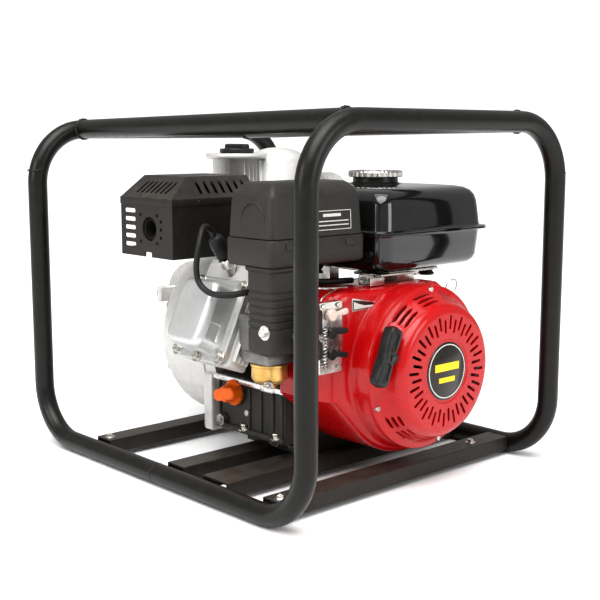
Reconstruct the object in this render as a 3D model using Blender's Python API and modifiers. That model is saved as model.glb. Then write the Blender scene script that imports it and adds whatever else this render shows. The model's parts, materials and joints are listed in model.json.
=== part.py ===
"""Portable fire pump: a single-cylinder petrol engine driving a self-priming pump in a tube frame.

Run with blender --background --python part.py, or from the text editor. Sizes are in millimetres and
the helpers turn them into metres. X runs along the crankshaft from the pump to the recoil starter,
Y runs from the air cleaner to the fuel tank, and Z is up. The origin is on the ground under the
middle of the frame.
"""

import math

import bpy
import bmesh
from mathutils import Matrix, Vector

MM = 0.001
GAP = 0.3  # clearance between neighbouring solids

# Tube frame
TUBE_R = 12.5
HALF_LENGTH = 261.0
HALF_WIDTH = 208.5
HEIGHT_RECOIL_SIDE = 440.0
HEIGHT_PUMP_SIDE = 432.0
TOP_BEND_R = 72.0
FOOT_BEND_R = 70.0
RAIL_Y = 143.0
BEAM_TOP = 25.0
BEAM_BOTTOM = 7.0
SHEET = 3.0
BEAMS = {
    "base_beam_pump_side": (-152.0, -122.0),
    "base_beam_engine_front": (3.0, 36.0),
    "base_beam_engine_rear": (72.0, 118.0),
    "base_beam_recoil_side": (178.0, 210.0),
}

# Engine
CRANK = Vector((0.0, 27.0, 142.0))
CASE_BACK_X = -28.0
CASE_FRONT_X = 99.0
CASE_BOTTOM = 44.3
BORE_X = 20.0
BORE_R = 34.0
STROKE = 54.0
TILT = math.radians(25.0)
ALONG_BORE = Vector((0.0, -math.cos(TILT), math.sin(TILT)))
ACROSS_BORE = Vector((0.0, math.sin(TILT), math.cos(TILT)))
DECK = 60.0
BARREL_TOP = 136.0
HEAD_TOP = 166.7
COVER_FACE = 209.0
SHROUD_STEP_X = 172.0
SHROUD_FRONT_X = 187.0
SHROUD_R = 108.0
SHROUD_TOP = 236.0
SHROUD_LEFT = -100.0
FACE_LEFT = -86.0
RECOIL_BACK_X = 212.0
RECOIL_FACE_X = 247.0
REEL_R = 45.0

# Fuel tank, air cleaner and muffler
TANK_X = (-35.0, 183.0)
TANK_Y = (-16.0, 189.0)
TANK_SEAM = 297.0
TANK_BOTTOM = 250.0
TANK_TOP = 350.0
CAP_X = 73.0
CLEANER_X = (80.0, 162.0)
CLEANER_Y = (-167.0, -21.0)
CLEANER_Z = (268.0, 361.0)
CLEANER_SEAM = 299.0
MUFFLER_X = (-138.0, -28.0)
MUFFLER_Y = (-160.0, -25.0)
MUFFLER_Z = (262.0, 361.0)
GUARD_SHOULDER = 335.0
EXHAUST = (-76.0, 297.0)

# Pump
PUMP_FACE_X = -159.0
PUMP_BACK_X = -62.0
PUMP_R = 116.0
NECK = Vector((-133.0, 27.0, 0.0))
NECK_TOP = 387.0
OUTLET = Vector((-115.0, 85.0, 318.0))
OUTLET_END = 194.0
SUCTION = Vector((0.0, 27.0, 189.0))

ROUND = 32
PARTS = None
CUTTERS = None
MATERIALS = {}

FINISHES = {
    "frame_black": ((0.035, 0.035, 0.032), 0.45, 0.0),
    "beam_steel": ((0.06, 0.052, 0.046), 0.5, 0.0),
    "cast_dark": ((0.07, 0.07, 0.065), 0.6, 0.4),
    "cast_silver": ((0.68, 0.67, 0.66), 0.45, 0.6),
    "polished": ((0.75, 0.75, 0.76), 0.15, 1.0),
    "red_paint": ((0.62, 0.015, 0.02), 0.25, 0.0),
    "black_gloss": ((0.012, 0.012, 0.013), 0.12, 0.0),
    "black_plastic": ((0.05, 0.05, 0.046), 0.55, 0.0),
    "black_heat": ((0.03, 0.028, 0.026), 0.6, 0.2),
    "steel": ((0.45, 0.45, 0.46), 0.35, 1.0),
    "zinc": ((0.62, 0.6, 0.58), 0.35, 0.9),
    "brass": ((0.72, 0.52, 0.2), 0.35, 0.9),
    "orange_plastic": ((0.85, 0.16, 0.02), 0.4, 0.0),
    "cream_plastic": ((0.75, 0.68, 0.6), 0.45, 0.0),
    "rubber": ((0.02, 0.02, 0.02), 0.8, 0.0),
    "filter_foam": ((0.45, 0.4, 0.3), 0.95, 0.0),
}


def clear_scene():
    """Remove what the scene holds and make the two collections."""
    global PARTS, CUTTERS
    for thing in list(bpy.data.objects):
        bpy.data.objects.remove(thing, do_unlink=True)
    PARTS = bpy.data.collections.new("portable_fire_pump")
    CUTTERS = bpy.data.collections.new("cutters")
    bpy.context.scene.collection.children.link(PARTS)
    bpy.context.scene.collection.children.link(CUTTERS)


def finish(slot):
    """Return the Principled material of a named finish."""
    if slot not in MATERIALS:
        colour, roughness, metallic = FINISHES[slot]
        material = bpy.data.materials.new(slot)
        material.use_nodes = True
        shader = material.node_tree.nodes["Principled BSDF"]
        shader.inputs["Base Color"].default_value = (*colour, 1.0)
        shader.inputs["Roughness"].default_value = roughness
        shader.inputs["Metallic"].default_value = metallic
        MATERIALS[slot] = material
    return MATERIALS[slot]


def place(name, mesh, slot, origin=(0, 0, 0)):
    """Put a mesh in the parts collection, with its origin at a point in millimetres."""
    thing = bpy.data.objects.new(name, mesh)
    PARTS.objects.link(thing)
    thing.location = Vector(origin) * MM
    if slot:
        mesh.materials.append(finish(slot))
    return thing


def hide_as_cutter(thing):
    """Keep an object only as the tool of a modifier."""
    for collection in list(thing.users_collection):
        collection.objects.unlink(thing)
    CUTTERS.objects.link(thing)
    thing.hide_render = True
    thing.display_type = "WIRE"


def combine(target, tools, operation):
    """Cut tools from the target, or join them to it, and return the target."""
    for tool in tools if isinstance(tools, (list, tuple)) else [tools]:
        hide_as_cutter(tool)
        step = target.modifiers.new(operation.lower(), "BOOLEAN")
        step.operation = operation
        step.solver = "EXACT"
        step.object = tool
    return target


def cut(target, tools):
    """Subtract tools from the target."""
    return combine(target, tools, "DIFFERENCE")


def join(target, tools):
    """Unite tools with the target."""
    return combine(target, tools, "UNION")


def box(name, x, y, z, slot=None, bevel=0.0, segments=2):
    """A box between two bounds on each axis, with its origin at its centre."""
    centre = Vector(((x[0] + x[1]) / 2, (y[0] + y[1]) / 2, (z[0] + z[1]) / 2))
    size = Vector((x[1] - x[0], y[1] - y[0], z[1] - z[0])) * MM
    mesh = bpy.data.meshes.new(name)
    shape = bmesh.new()
    bmesh.ops.create_cube(shape, size=1.0, matrix=Matrix.Diagonal((*size, 1.0)))
    if bevel:
        bmesh.ops.bevel(shape, geom=shape.edges[:], offset=bevel * MM, segments=segments,
                        profile=0.5, affect="EDGES", clamp_overlap=True)
    shape.to_mesh(mesh)
    shape.free()
    return place(name, mesh, slot, centre)


def aim(thing, direction):
    """Turn an object so that its local Z lies along a direction."""
    thing.rotation_mode = "QUATERNION"
    thing.rotation_quaternion = Vector(direction).to_track_quat("Z", "Y")
    return thing


def rod(name, start, end, radius, slot=None, sides=ROUND, end_radius=None):
    """A cylinder or cone from one point to another, with its origin at its start."""
    start, end = Vector(start), Vector(end)
    length = (end - start).length
    mesh = bpy.data.meshes.new(name)
    shape = bmesh.new()
    bmesh.ops.create_cone(shape, cap_ends=True, segments=sides, radius1=radius * MM,
                          radius2=(radius if end_radius is None else end_radius) * MM,
                          depth=length * MM, matrix=Matrix.Translation((0, 0, length * MM / 2)))
    shape.to_mesh(mesh)
    shape.free()
    mesh.shade_smooth()
    mesh.set_sharp_from_angle(angle=math.radians(40))
    return aim(place(name, mesh, slot, start), end - start)


def turned(name, base, direction, profile, slot=None, sides=ROUND, ring=False):
    """Turn a profile of (radius, height) pairs, top to bottom on its outer side, about an axis."""
    mesh = bpy.data.meshes.new(name)
    shape = bmesh.new()
    corners = [shape.verts.new((r * MM, 0.0, h * MM)) for r, h in profile]
    for first, second in zip(corners, corners[1:]):
        shape.edges.new((first, second))
    if ring:
        shape.edges.new((corners[-1], corners[0]))
    shape.to_mesh(mesh)
    shape.free()
    thing = aim(place(name, mesh, slot, base), direction)
    turn = thing.modifiers.new("turn", "SCREW")
    turn.axis = "Z"
    turn.steps = sides
    turn.render_steps = sides
    turn.use_merge_vertices = True
    turn.merge_threshold = 0.00001
    turn.use_smooth_shade = True
    return thing


def to_mesh_object(curve_object):
    """Replace a curve object by a mesh object with welded caps."""
    bpy.context.view_layer.update()
    graph = bpy.context.evaluated_depsgraph_get()
    mesh = bpy.data.meshes.new_from_object(curve_object.evaluated_get(graph))
    shape = bmesh.new()
    shape.from_mesh(mesh)
    bmesh.ops.remove_doubles(shape, verts=shape.verts, dist=0.000001)
    shape.to_mesh(mesh)
    shape.free()
    name = curve_object.name
    matrix = curve_object.matrix_world.copy()
    bpy.data.objects.remove(curve_object, do_unlink=True)
    thing = bpy.data.objects.new(name, mesh)
    PARTS.objects.link(thing)
    thing.matrix_world = matrix
    return thing


def plate(name, outline, x, slot=None):
    """A flat outline of (y, z) points, thick from x[0] to x[1]."""
    curve = bpy.data.curves.new(name, "CURVE")
    curve.dimensions = "2D"
    curve.fill_mode = "BOTH"
    curve.extrude = (x[1] - x[0]) / 2 * MM
    spline = curve.splines.new("POLY")
    spline.points.add(len(outline) - 1)
    for point, (y, z) in zip(spline.points, outline):
        point.co = (y * MM, z * MM, 0.0, 1.0)
    spline.use_cyclic_u = True
    thing = bpy.data.objects.new(name, curve)
    PARTS.objects.link(thing)
    thing.matrix_world = Matrix(((0, 0, 1, (x[0] + x[1]) / 2 * MM), (1, 0, 0, 0),
                                 (0, 1, 0, 0), (0, 0, 0, 1)))
    thing = to_mesh_object(thing)
    if slot:
        thing.data.materials.append(finish(slot))
    return thing


def tube(name, points, radius, slot, resolution=4):
    """A round bar or tube along points."""
    curve = bpy.data.curves.new(name, "CURVE")
    curve.dimensions = "3D"
    curve.bevel_depth = radius * MM
    curve.bevel_resolution = resolution
    curve.use_fill_caps = True
    spline = curve.splines.new("POLY")
    spline.points.add(len(points) - 1)
    for point, place_at in zip(spline.points, points):
        point.co = (*(Vector(place_at) * MM), 1.0)
    thing = bpy.data.objects.new(name, curve)
    PARTS.objects.link(thing)
    curve.materials.append(finish(slot))
    return thing


def arc(centre, radius, start, end, steps):
    """Points on a circle in a plane, between two angles in degrees."""
    angles = [math.radians(start + (end - start) * i / steps) for i in range(steps + 1)]
    return [(centre[0] + radius * math.cos(a), centre[1] + radius * math.sin(a)) for a in angles]


def rounded_path(corners, radii, steps=7):
    """A path through corner points, each inner corner rounded to its radius."""
    corners = [Vector(c) for c in corners]
    path = [corners[0]]
    for before, here, after, radius in zip(corners, corners[1:], corners[2:], radii):
        into, out = (here - before).normalized(), (after - here).normalized()
        angle = into.angle(out)
        reach = radius * math.tan(angle / 2)
        start = here - into * reach
        centre = start + (out - into * into.dot(out)).normalized() * radius
        for i in range(steps + 1):
            turn = angle * i / steps
            spoke = (start - centre).normalized()
            path.append(centre + spoke * radius * math.cos(turn) + into * radius * math.sin(turn))
    path.append(corners[-1])
    return path


def on_bore(x, along, across=0.0):
    """A point given by its distance along and across the tilted cylinder axis."""
    return Vector((x, CRANK.y, CRANK.z)) + ALONG_BORE * along + ACROSS_BORE * across


def bore_box(name, x, along, across, slot=None, bevel=0.0):
    """A box lying square to the tilted cylinder."""
    half = Vector(((x[1] - x[0]) / 2, (across[1] - across[0]) / 2, (along[1] - along[0]) / 2))
    thing = box(name, (-half.x, half.x), (-half.y, half.y), (-half.z, half.z), slot, bevel)
    middle = on_bore((x[0] + x[1]) / 2, (along[0] + along[1]) / 2, (across[0] + across[1]) / 2)
    turn = Matrix((Vector((1, 0, 0)), ACROSS_BORE, ALONG_BORE)).transposed()
    if turn.determinant() < 0:
        turn = Matrix((Vector((-1, 0, 0)), ACROSS_BORE, ALONG_BORE)).transposed()
    thing.matrix_world = Matrix.Translation(middle * MM) @ turn.to_4x4()
    return thing


def crank_point(x):
    """A point on the crankshaft's axis."""
    return Vector((x, CRANK.y, CRANK.z))


def make_frame():
    """Two bent hoops, two top rails, four base beams and the engine bed."""
    for name, side, height in (("frame_hoop_recoil_side", 1, HEIGHT_RECOIL_SIDE),
                               ("frame_hoop_pump_side", -1, HEIGHT_PUMP_SIDE)):
        x, top = side * HALF_LENGTH, height - TUBE_R
        corners = [(side * GAP, -HALF_WIDTH, TUBE_R), (x, -HALF_WIDTH, TUBE_R),
                   (x, -HALF_WIDTH, top), (x, HALF_WIDTH, top), (x, HALF_WIDTH, TUBE_R),
                   (side * GAP, HALF_WIDTH, TUBE_R)]
        radii = [FOOT_BEND_R, TOP_BEND_R, TOP_BEND_R, FOOT_BEND_R]
        tube(name, rounded_path(corners, radii), TUBE_R, "frame_black")
    reach = HALF_LENGTH - TUBE_R - GAP
    for name, y in (("top_rail_left", -RAIL_Y), ("top_rail_right", RAIL_Y)):
        ends = [(-reach, y, HEIGHT_PUMP_SIDE - TUBE_R), (reach, y, HEIGHT_RECOIL_SIDE - TUBE_R)]
        tube(name, ends, TUBE_R, "frame_black")
    inner = HALF_WIDTH - TUBE_R - GAP
    for name, x in BEAMS.items():
        beam = box(name, x, (-inner, inner), (BEAM_BOTTOM, BEAM_TOP), "beam_steel")
        cut(beam, box(name + "_hollow", (x[0] + SHEET, x[1] - SHEET), (-inner - 5, inner + 5),
                      (0, BEAM_TOP - SHEET)))
    bed = box("engine_bed", (-8, 97), (-62, 112), (BEAM_TOP + GAP, CASE_BOTTOM - GAP), "beam_steel")
    cut(bed, box("bed_hollow", (-5, 94), (-59, 109), (20, CASE_BOTTOM - GAP - SHEET)))


def case_outline():
    """The crankcase's side outline, round above the shaft, flat at the feet and at the deck."""
    deck_low, deck_high = on_bore(0, DECK, -50), on_bore(0, DECK, 50)
    outline = [(-92, CASE_BOTTOM), (112, CASE_BOTTOM)]
    outline += arc((CRANK.y, CRANK.z), 85, 0, 98, 10)
    outline += [(deck_high.y, deck_high.z), (deck_low.y, deck_low.z), (-92, 115)]
    return outline


def make_crankcase():
    """Crankcase, its side cover, both bearings, the oil plugs and the crankshaft set."""
    case = plate("crankcase", case_outline(), (CASE_BACK_X, CASE_FRONT_X), "cast_dark")
    cut(case, [rod("crank_chamber", crank_point(CASE_BACK_X - 5), crank_point(88), 60),
               rod("deck_hole", on_bore(BORE_X, 30), on_bore(BORE_X, DECK + 5), 36),
               rod("front_bearing_seat", crank_point(80), crank_point(105), 26),
               rod("dipstick_hole", (8, -100, 95), (8, -60, 95), 8.5, sides=20),
               rod("drain_hole", (-16, -100, 56), (-16, -70, 56), 4.8, sides=12)])
    cover = rod("crankcase_side_cover", crank_point(-40), crank_point(CASE_BACK_X - GAP), 84,
                "cast_dark")
    cut(cover, rod("cover_bearing_seat", crank_point(-50), crank_point(-20), 26))
    for name, x, inner in (("bearing_pump_side", (-39.5, -28.5), 15.3),
                           ("bearing_flywheel_side", (88.5, 98.5), 12.3)):
        ring = [(25.7, x[1] - x[0]), (25.7, 0), (inner, 0), (inner, x[1] - x[0])]
        turned(name, crank_point(x[0]), (1, 0, 0), ring, "steel", sides=24, ring=True)
    shaft = turned("crankshaft", crank_point(-142), (1, 0, 0),
                   [(0, 310), (12, 310), (12, 184), (15, 184), (15, 44), (12, 44), (12, 0), (0, 0)],
                   "steel", sides=24)
    pin_back, pin_front = crank_point(-1), crank_point(41)
    offset = ALONG_BORE * (-STROKE / 2)
    relief = rod("pin_relief", crank_point(8), crank_point(32), 38, sides=24)
    cut(shaft, relief)
    join(shaft, [rod("web_back", crank_point(-2), crank_point(8.5), 40, sides=24),
                 rod("web_front", crank_point(31.5), crank_point(42), 40, sides=24),
                 rod("crank_pin", pin_back + offset, pin_front + offset, 12, sides=20)])
    turned("flywheel", crank_point(112), (1, 0, 0),
           [(78, 26), (78, 0), (70, 0), (70, 16), (24, 16), (24, 4), (12.3, 4), (12.3, 34),
            (24, 34), (24, 26)],
           "cast_silver", ring=True)
    knob = rod("oil_dipstick", (8, -93, 95), (8, -116, 95), 15, "orange_plastic", sides=20,
               end_radius=11)
    join(knob, [rod("dipstick_stem", (8, -95, 95), (8, -66, 95), 8, sides=16),
                box("dipstick_wing", (-10, 26), (-114, -98), (90, 100))])
    bolt = rod("oil_drain_bolt", (-16, -92.3, 56), (-16, -100, 56), 8, "zinc", sides=6)
    join(bolt, rod("drain_thread", (-16, -95, 56), (-16, -76, 56), 4.4, sides=12))


def make_cylinder():
    """Finned barrel, piston, head, valve cover and the ignition parts on the head."""
    fins = [(46.0, BARREL_TOP - DECK - GAP)]
    pitch = (BARREL_TOP - DECK - GAP) / 6
    for i in range(6):
        top = BARREL_TOP - DECK - GAP - i * pitch
        fins += [(46.0, top - pitch * 0.35), (39.0, top - pitch * 0.45),
                 (39.0, top - pitch * 0.95), (46.0, top - pitch)]
    fins = fins[:-2] + [(39.0, 0.0), (BORE_R, 0.0), (BORE_R, BARREL_TOP - DECK - GAP)]
    turned("cylinder_block", on_bore(BORE_X, DECK + GAP), ALONG_BORE, fins, "cast_dark",
           sides=28, ring=True)
    bottom = 45.5
    turned("piston", on_bore(BORE_X, bottom), ALONG_BORE,
           [(0, 36), (33.7, 36), (33.7, 0), (29, 0), (29, 28), (0, 28)], "cast_silver", sides=28)
    plug_seat = on_bore(BORE_X, BARREL_TOP + 6, 26)
    plug_axis = ALONG_BORE * 0.849 + ACROSS_BORE * 0.528
    head = bore_box("cylinder_head", (-28, 68), (BARREL_TOP + GAP, HEAD_TOP), (-74, 48),
                    "cast_silver", bevel=3)
    cut(head, [rod("combustion_dome", on_bore(BORE_X, BARREL_TOP - 5),
                   on_bore(BORE_X, BARREL_TOP + 9), 32),
               rod("plug_hole", plug_seat, plug_seat + plug_axis * 60, 7.5, sides=16)])
    cover = bore_box("valve_cover", (-27, 67), (HEAD_TOP + GAP, HEAD_TOP + 8), (-75, 28),
                     "cast_silver", bevel=2)
    dome = bore_box("cover_dome", (-11, 55), (HEAD_TOP + 4, COVER_FACE), (-64, 19), bevel=9)
    hollow = bore_box("cover_hollow", (-7, 51), (HEAD_TOP - 5, COVER_FACE - 4), (-60, 15), bevel=6)
    join(cover, dome)
    cut(cover, hollow)
    seat = plug_seat + plug_axis * 9.5
    turned("spark_plug", seat, plug_axis,
           [(0, 62), (4, 62), (5, 40), (10, 38), (10, 27), (7, 26), (7, 0), (0, 0)], "zinc",
           sides=16)
    boot_base = seat + plug_axis * 41.5
    turned("spark_plug_boot", boot_base, plug_axis,
           [(0, 30), (9, 29), (10, 22), (9, 0), (5.6, 0), (5.6, 22), (0, 22)], "rubber", sides=16)
    return boot_base + plug_axis * 30.3, plug_axis


def smooth_route(points, spacing):
    """Resample a smooth curve through points at an even spacing."""
    points = [Vector(p) for p in points]
    ends = [points[0] * 2 - points[1]] + points + [points[-1] * 2 - points[-2]]
    fine = []
    for a, b, c, d in zip(ends, ends[1:], ends[2:], ends[3:]):
        for i in range(24):
            t = i / 24
            fine.append(0.5 * ((2 * b) + (c - a) * t + (2 * a - 5 * b + 4 * c - d) * t * t
                               + (3 * b - a - 3 * c + d) * t * t * t))
    fine.append(points[-1])
    length = sum((q - p).length for p, q in zip(fine, fine[1:]))
    count = max(2, round(length / spacing))
    route, travelled, goal = [fine[0]], 0.0, length / count
    for p, q in zip(fine, fine[1:]):
        step = (q - p).length
        while step > 0 and travelled + step >= goal * len(route) - 1e-6 and len(route) <= count:
            route.append(p.lerp(q, (goal * len(route) - travelled) / step))
        travelled += step
    return route


def make_ignition_lead(start, direction):
    """The plug lead, from the boot over the valve cover and back to the coil."""
    points = [start, start + direction * 10, (29, -157, 305), (37, -170, 284), (37, -174, 262),
              (41, -174, 244), (56, -171, 233), (76, -164, 231), (92, -147, 234), (100, -118, 240),
              (112, -88, 243.5), (126, -56, 242), (132, -14, 240.5)]
    tube("spark_plug_lead", smooth_route(points, 12.0), 3.5, "rubber", resolution=2)


def shroud_outline(inset, left_edge=SHROUD_LEFT):
    """Round about the shaft, flat under the tank, with a duct towards the cylinder."""
    radius, top, left = SHROUD_R - inset, SHROUD_TOP - inset, left_edge + inset
    first = math.degrees(math.asin((top - CRANK.z) / radius))
    outline = arc((CRANK.y, CRANK.z), radius, first, -144, 24)
    return outline + [(left, 112 + inset), (left, top)]


def make_fan_and_starter():
    """Fan shroud, ignition coil, recoil housing, its reel and the pull grip."""
    shroud = plate("fan_shroud", shroud_outline(0), (CASE_FRONT_X + GAP, SHROUD_STEP_X), "red_paint")
    join(shroud, plate("shroud_face", shroud_outline(1, FACE_LEFT), (SHROUD_STEP_X - 1, SHROUD_FRONT_X)))
    collar = rod("shroud_collar", crank_point(SHROUD_FRONT_X - 2), crank_point(RECOIL_BACK_X - GAP),
                 97, end_radius=96.5)
    join(shroud, collar)
    cut(shroud, [plate("shroud_hollow", shroud_outline(SHEET), (90, SHROUD_STEP_X - SHEET)),
                 plate("face_hollow", shroud_outline(1 + SHEET, FACE_LEFT),
                       (SHROUD_STEP_X - SHEET - 4, SHROUD_FRONT_X - SHEET)),
                 rod("collar_hollow", crank_point(SHROUD_FRONT_X - 5), crank_point(RECOIL_BACK_X + 5),
                     93, end_radius=92),
                 rod("lead_notch", (132, -24, 233), (132, -24, 250), 5, sides=12)])
    box("ignition_coil", (120, 146), (-40, 8), (221.5, 232.5), "black_plastic", bevel=2)
    back, face = RECOIL_BACK_X, RECOIL_FACE_X
    depth = face - back
    turned("recoil_housing", crank_point(back), (1, 0, 0),
           [(0, depth), (68, depth), (72, depth - 4), (86, 7), (97, 5), (97, 0), (82, 0),
            (82, 4), (68, depth - 5), (64, depth - 3), (8, depth - 3), (8, -24), (0, -24)],
           "red_paint", sides=40)
    turned("recoil_reel", crank_point(190), (1, 0, 0),
           [(REEL_R, 14), (REEL_R, 11), (REEL_R - 8, 9), (REEL_R - 8, 5), (REEL_R, 3),
            (REEL_R, 0), (8.3, 0), (8.3, 14)], "black_plastic", ring=True)
    low, high = Vector((237, -79, 139)), Vector((237, -53, 201))
    grip = rod("recoil_grip", low, high, 8, "black_plastic", sides=16)
    middle = (low + high) / 2
    join(grip, rod("grip_boss", middle, middle + Vector((0, 13, -2)), 6.5, sides=16, end_radius=6))


def make_fuel_system():
    """Tank shells, cap, tank stay, carburettor with its bowl, levers and their bracket."""
    x, y = TANK_X, TANK_Y
    inset = 8.0
    inner_x, inner_y = (x[0] + inset, x[1] - inset), (y[0] + inset, y[1] - inset)
    for name, bottom, top, flange in (
            ("fuel_tank_upper", TANK_SEAM + 0.15, TANK_TOP, (TANK_SEAM + 0.15, TANK_SEAM + 1.8)),
            ("fuel_tank_lower", TANK_BOTTOM, TANK_SEAM - 0.15, (TANK_SEAM - 1.8, TANK_SEAM - 0.15))):
        upper = name.endswith("upper")
        shell = box(name, inner_x, inner_y, (bottom - 40, top) if upper else (bottom, top + 40),
                    "black_gloss", bevel=16, segments=3)
        hollow = box(name + "_hollow", (inner_x[0] + 2, inner_x[1] - 2),
                     (inner_y[0] + 2, inner_y[1] - 2),
                     (bottom - 60, top - 2) if upper else (bottom + 2, top + 60), bevel=14,
                     segments=3)
        lid = box(name + "_trim", (x[0] - 5, x[1] + 5), (y[0] - 5, y[1] + 5),
                  (bottom - 80, bottom) if upper else (top, top + 80))
        rim = box(name + "_flange", x, y, flange, bevel=0.5, segments=1)
        cut(shell, lid)
        join(shell, rim)
        cut(shell, hollow)
        if upper:
            centre_y = (y[0] + y[1]) / 2
            join(shell, rod("filler_neck", (CAP_X, centre_y, top - 3), (CAP_X, centre_y, top + 9),
                            26, sides=28))
            cut(shell, rod("filler_hole", (CAP_X, centre_y, top - 10), (CAP_X, centre_y, top + 15),
                           22, sides=28))
    centre = (CAP_X, (y[0] + y[1]) / 2, TANK_TOP + 9 + GAP)
    turned("fuel_cap", centre, (0, 0, 1),
           [(0, 8), (31, 8), (34, 6), (34, -1), (27, -1), (27, 0), (21.5, 0), (21.5, -12),
            (19, -12), (19, 0), (0, 0)], "zinc", sides=36)
    stay = box("tank_stay", (10, 160), (20, 110), (246.7, TANK_BOTTOM - GAP), "zinc")
    join(stay, [box("stay_front_leg", (124, 156), (40, 70), (SHROUD_TOP + GAP, 248)),
                box("stay_back_leg", (20, 60), (19, 35), (227.5, 248))])
    body = box("carburettor", (69, 111.6), (-138, -101), (153, 206), "cast_silver", bevel=2)
    join(body, box("carburettor_base", (86, 130), (-146, -101), (152.8, 166), bevel=2))
    cut(body, rod("carburettor_throat", (60, -119, 186), (120, -119, 186), 12, sides=20))
    turned("float_bowl", (108, -124, 122.8), (0, 0, 1),
           [(0, 29.5), (21.5, 29.5), (21.5, 10), (13, 4), (7, 3), (7, 0), (0, 0)], "brass", sides=28)
    bracket = box("control_bracket", (SHROUD_FRONT_X + GAP, SHROUD_FRONT_X + 3), (-122, -88), (150, 230),
                  "zinc")
    for y in ((-122, -119.5), (-91, -88.5)):
        join(bracket, box("bracket_leg", (SHROUD_STEP_X + GAP, SHROUD_FRONT_X + 1), y, (150, 230)))
    levers = (("choke_lever", -108, 216, 12, "cream_plastic"),
              ("throttle_lever", -108, 196, 2, "black_plastic"),
              ("fuel_valve_lever", -108, 172, -8, "black_plastic"))
    for name, pivot_y, pivot_z, angle, slot in levers:
        front = SHROUD_FRONT_X + 3 + GAP
        lever = rod(name, (front, pivot_y, pivot_z), (front + 7, pivot_y, pivot_z), 6, slot, sides=20)
        turn = math.radians(angle)
        tip = Vector((front + 4, pivot_y + 32 * math.cos(turn), pivot_z + 32 * math.sin(turn)))
        join(lever, rod(name + "_arm", (front + 4, pivot_y, pivot_z), tip, 3.2, sides=12))
    knob = rod("stop_switch", (146, SHROUD_LEFT - GAP, 150), (146, SHROUD_LEFT - 12, 150), 11,
               "black_plastic", sides=20)
    join(knob, box("switch_bar", (143, 149), (SHROUD_LEFT - 17, SHROUD_LEFT - 8), (140, 160)))


def make_air_cleaner():
    """Air cleaner duct, case, filter element and the cover that lifts off."""
    x, y, z = CLEANER_X, CLEANER_Y, CLEANER_Z
    duct = box("air_cleaner_duct", (112, 157), (-162, -103), (170, z[0] - GAP), "black_plastic",
               bevel=3)
    cut(duct, [box("duct_passage", (116, 153), (-158, -107), (174, z[0] + 5)),
               rod("duct_mouth", (105, -119, 186), (125, -119, 186), 11, sides=20)])
    case = box("air_cleaner_case", x, y, (z[0], CLEANER_SEAM), "black_plastic", bevel=3)
    cut(case, [box("case_hollow", (x[0] + 3, x[1] - 3), (y[0] + 3, y[1] - 3),
                   (z[0] + 3, CLEANER_SEAM + 5)),
               box("case_port", (118, 151), (-156, -109), (z[0] - 5, z[0] + 10))])
    cover = box("air_cleaner_cover", x, y, (CLEANER_SEAM + GAP, z[1]), "black_plastic", bevel=9,
                segments=3)
    cut(cover, box("cover_inside", (x[0] + 3, x[1] - 3), (y[0] + 3, y[1] - 3),
                   (CLEANER_SEAM - 5, z[1] - 3), bevel=7, segments=2))
    box("filter_element", (x[0] + 8, x[1] - 8), (y[0] + 45, y[1] - 10), (z[0] + 4, z[1] - 12),
        "filter_foam", bevel=4)


def hipped_box(name, x, y, z, shoulder, run, slot=None):
    """A box whose top slopes inwards above its shoulder on the left and starter sides."""
    thing = box(name, x, y, z, slot)
    shape = bmesh.new()
    shape.from_mesh(thing.data)
    level = (shoulder - (z[0] + z[1]) / 2) * MM
    bmesh.ops.bisect_plane(shape, geom=shape.verts[:] + shape.edges[:] + shape.faces[:],
                           plane_co=(0, 0, level), plane_no=(0, 0, 1))
    for corner in shape.verts:
        if corner.co.z > level + 0.0005:
            corner.co.x -= run[0] * MM if corner.co.x > 0 else 0.0
            corner.co.y += run[1] * MM if corner.co.y < 0 else 0.0
    shape.to_mesh(thing.data)
    shape.free()
    return thing


def make_muffler():
    """Muffler box and the slotted heat guard round it."""
    x, y, z = MUFFLER_X, MUFFLER_Y, MUFFLER_Z
    hole_x, hole_z = EXHAUST
    muffler = box("muffler", (x[0] + 10, x[1] - 9), (y[0] + 14, y[1] - 9), (z[0] + 5, z[1] - 34),
                  "black_heat", bevel=8)
    cut(muffler, rod("exhaust_bore", (hole_x, y[0] - 5, hole_z), (hole_x, y[0] + 60, hole_z), 12))
    guard = hipped_box("muffler_guard", x, y, z, GUARD_SHOULDER, (22, 37), "black_heat")
    cut(guard, hipped_box("guard_hollow", (x[0] + 2, x[1] - 2), (y[0] + 2, y[1] - 2),
                          (z[0] - 10, z[1] - 2), GUARD_SHOULDER - 1, (22, 37)))
    holes = [rod("guard_hole", (hole_x, y[0] - 5, hole_z), (hole_x, y[0] + 10, hole_z), 15.5)]
    for i in range(5):
        height = hole_z - 21 + i * 10.6
        holes.append(box(f"side_slot_{i}", (x[0] + 8, x[0] + 32), (y[0] - 5, y[0] + 5),
                         (height - 2.7, height + 2.7)))
    for i in range(7):
        left = x[0] + 20 + i * 10
        holes.append(box(f"front_slope_slot_{i}", (left, left + 4), (y[0] + 8, y[0] + 28),
                         (z[1] - 30, z[1] + 5)))
    for i in range(6):
        near = y[0] + 48 + i * 14
        holes.append(box(f"side_slope_slot_{i}", (x[1] - 18, x[1] - 4), (near, near + 5),
                         (z[1] - 30, z[1] + 5)))
    cut(guard, holes)


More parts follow.
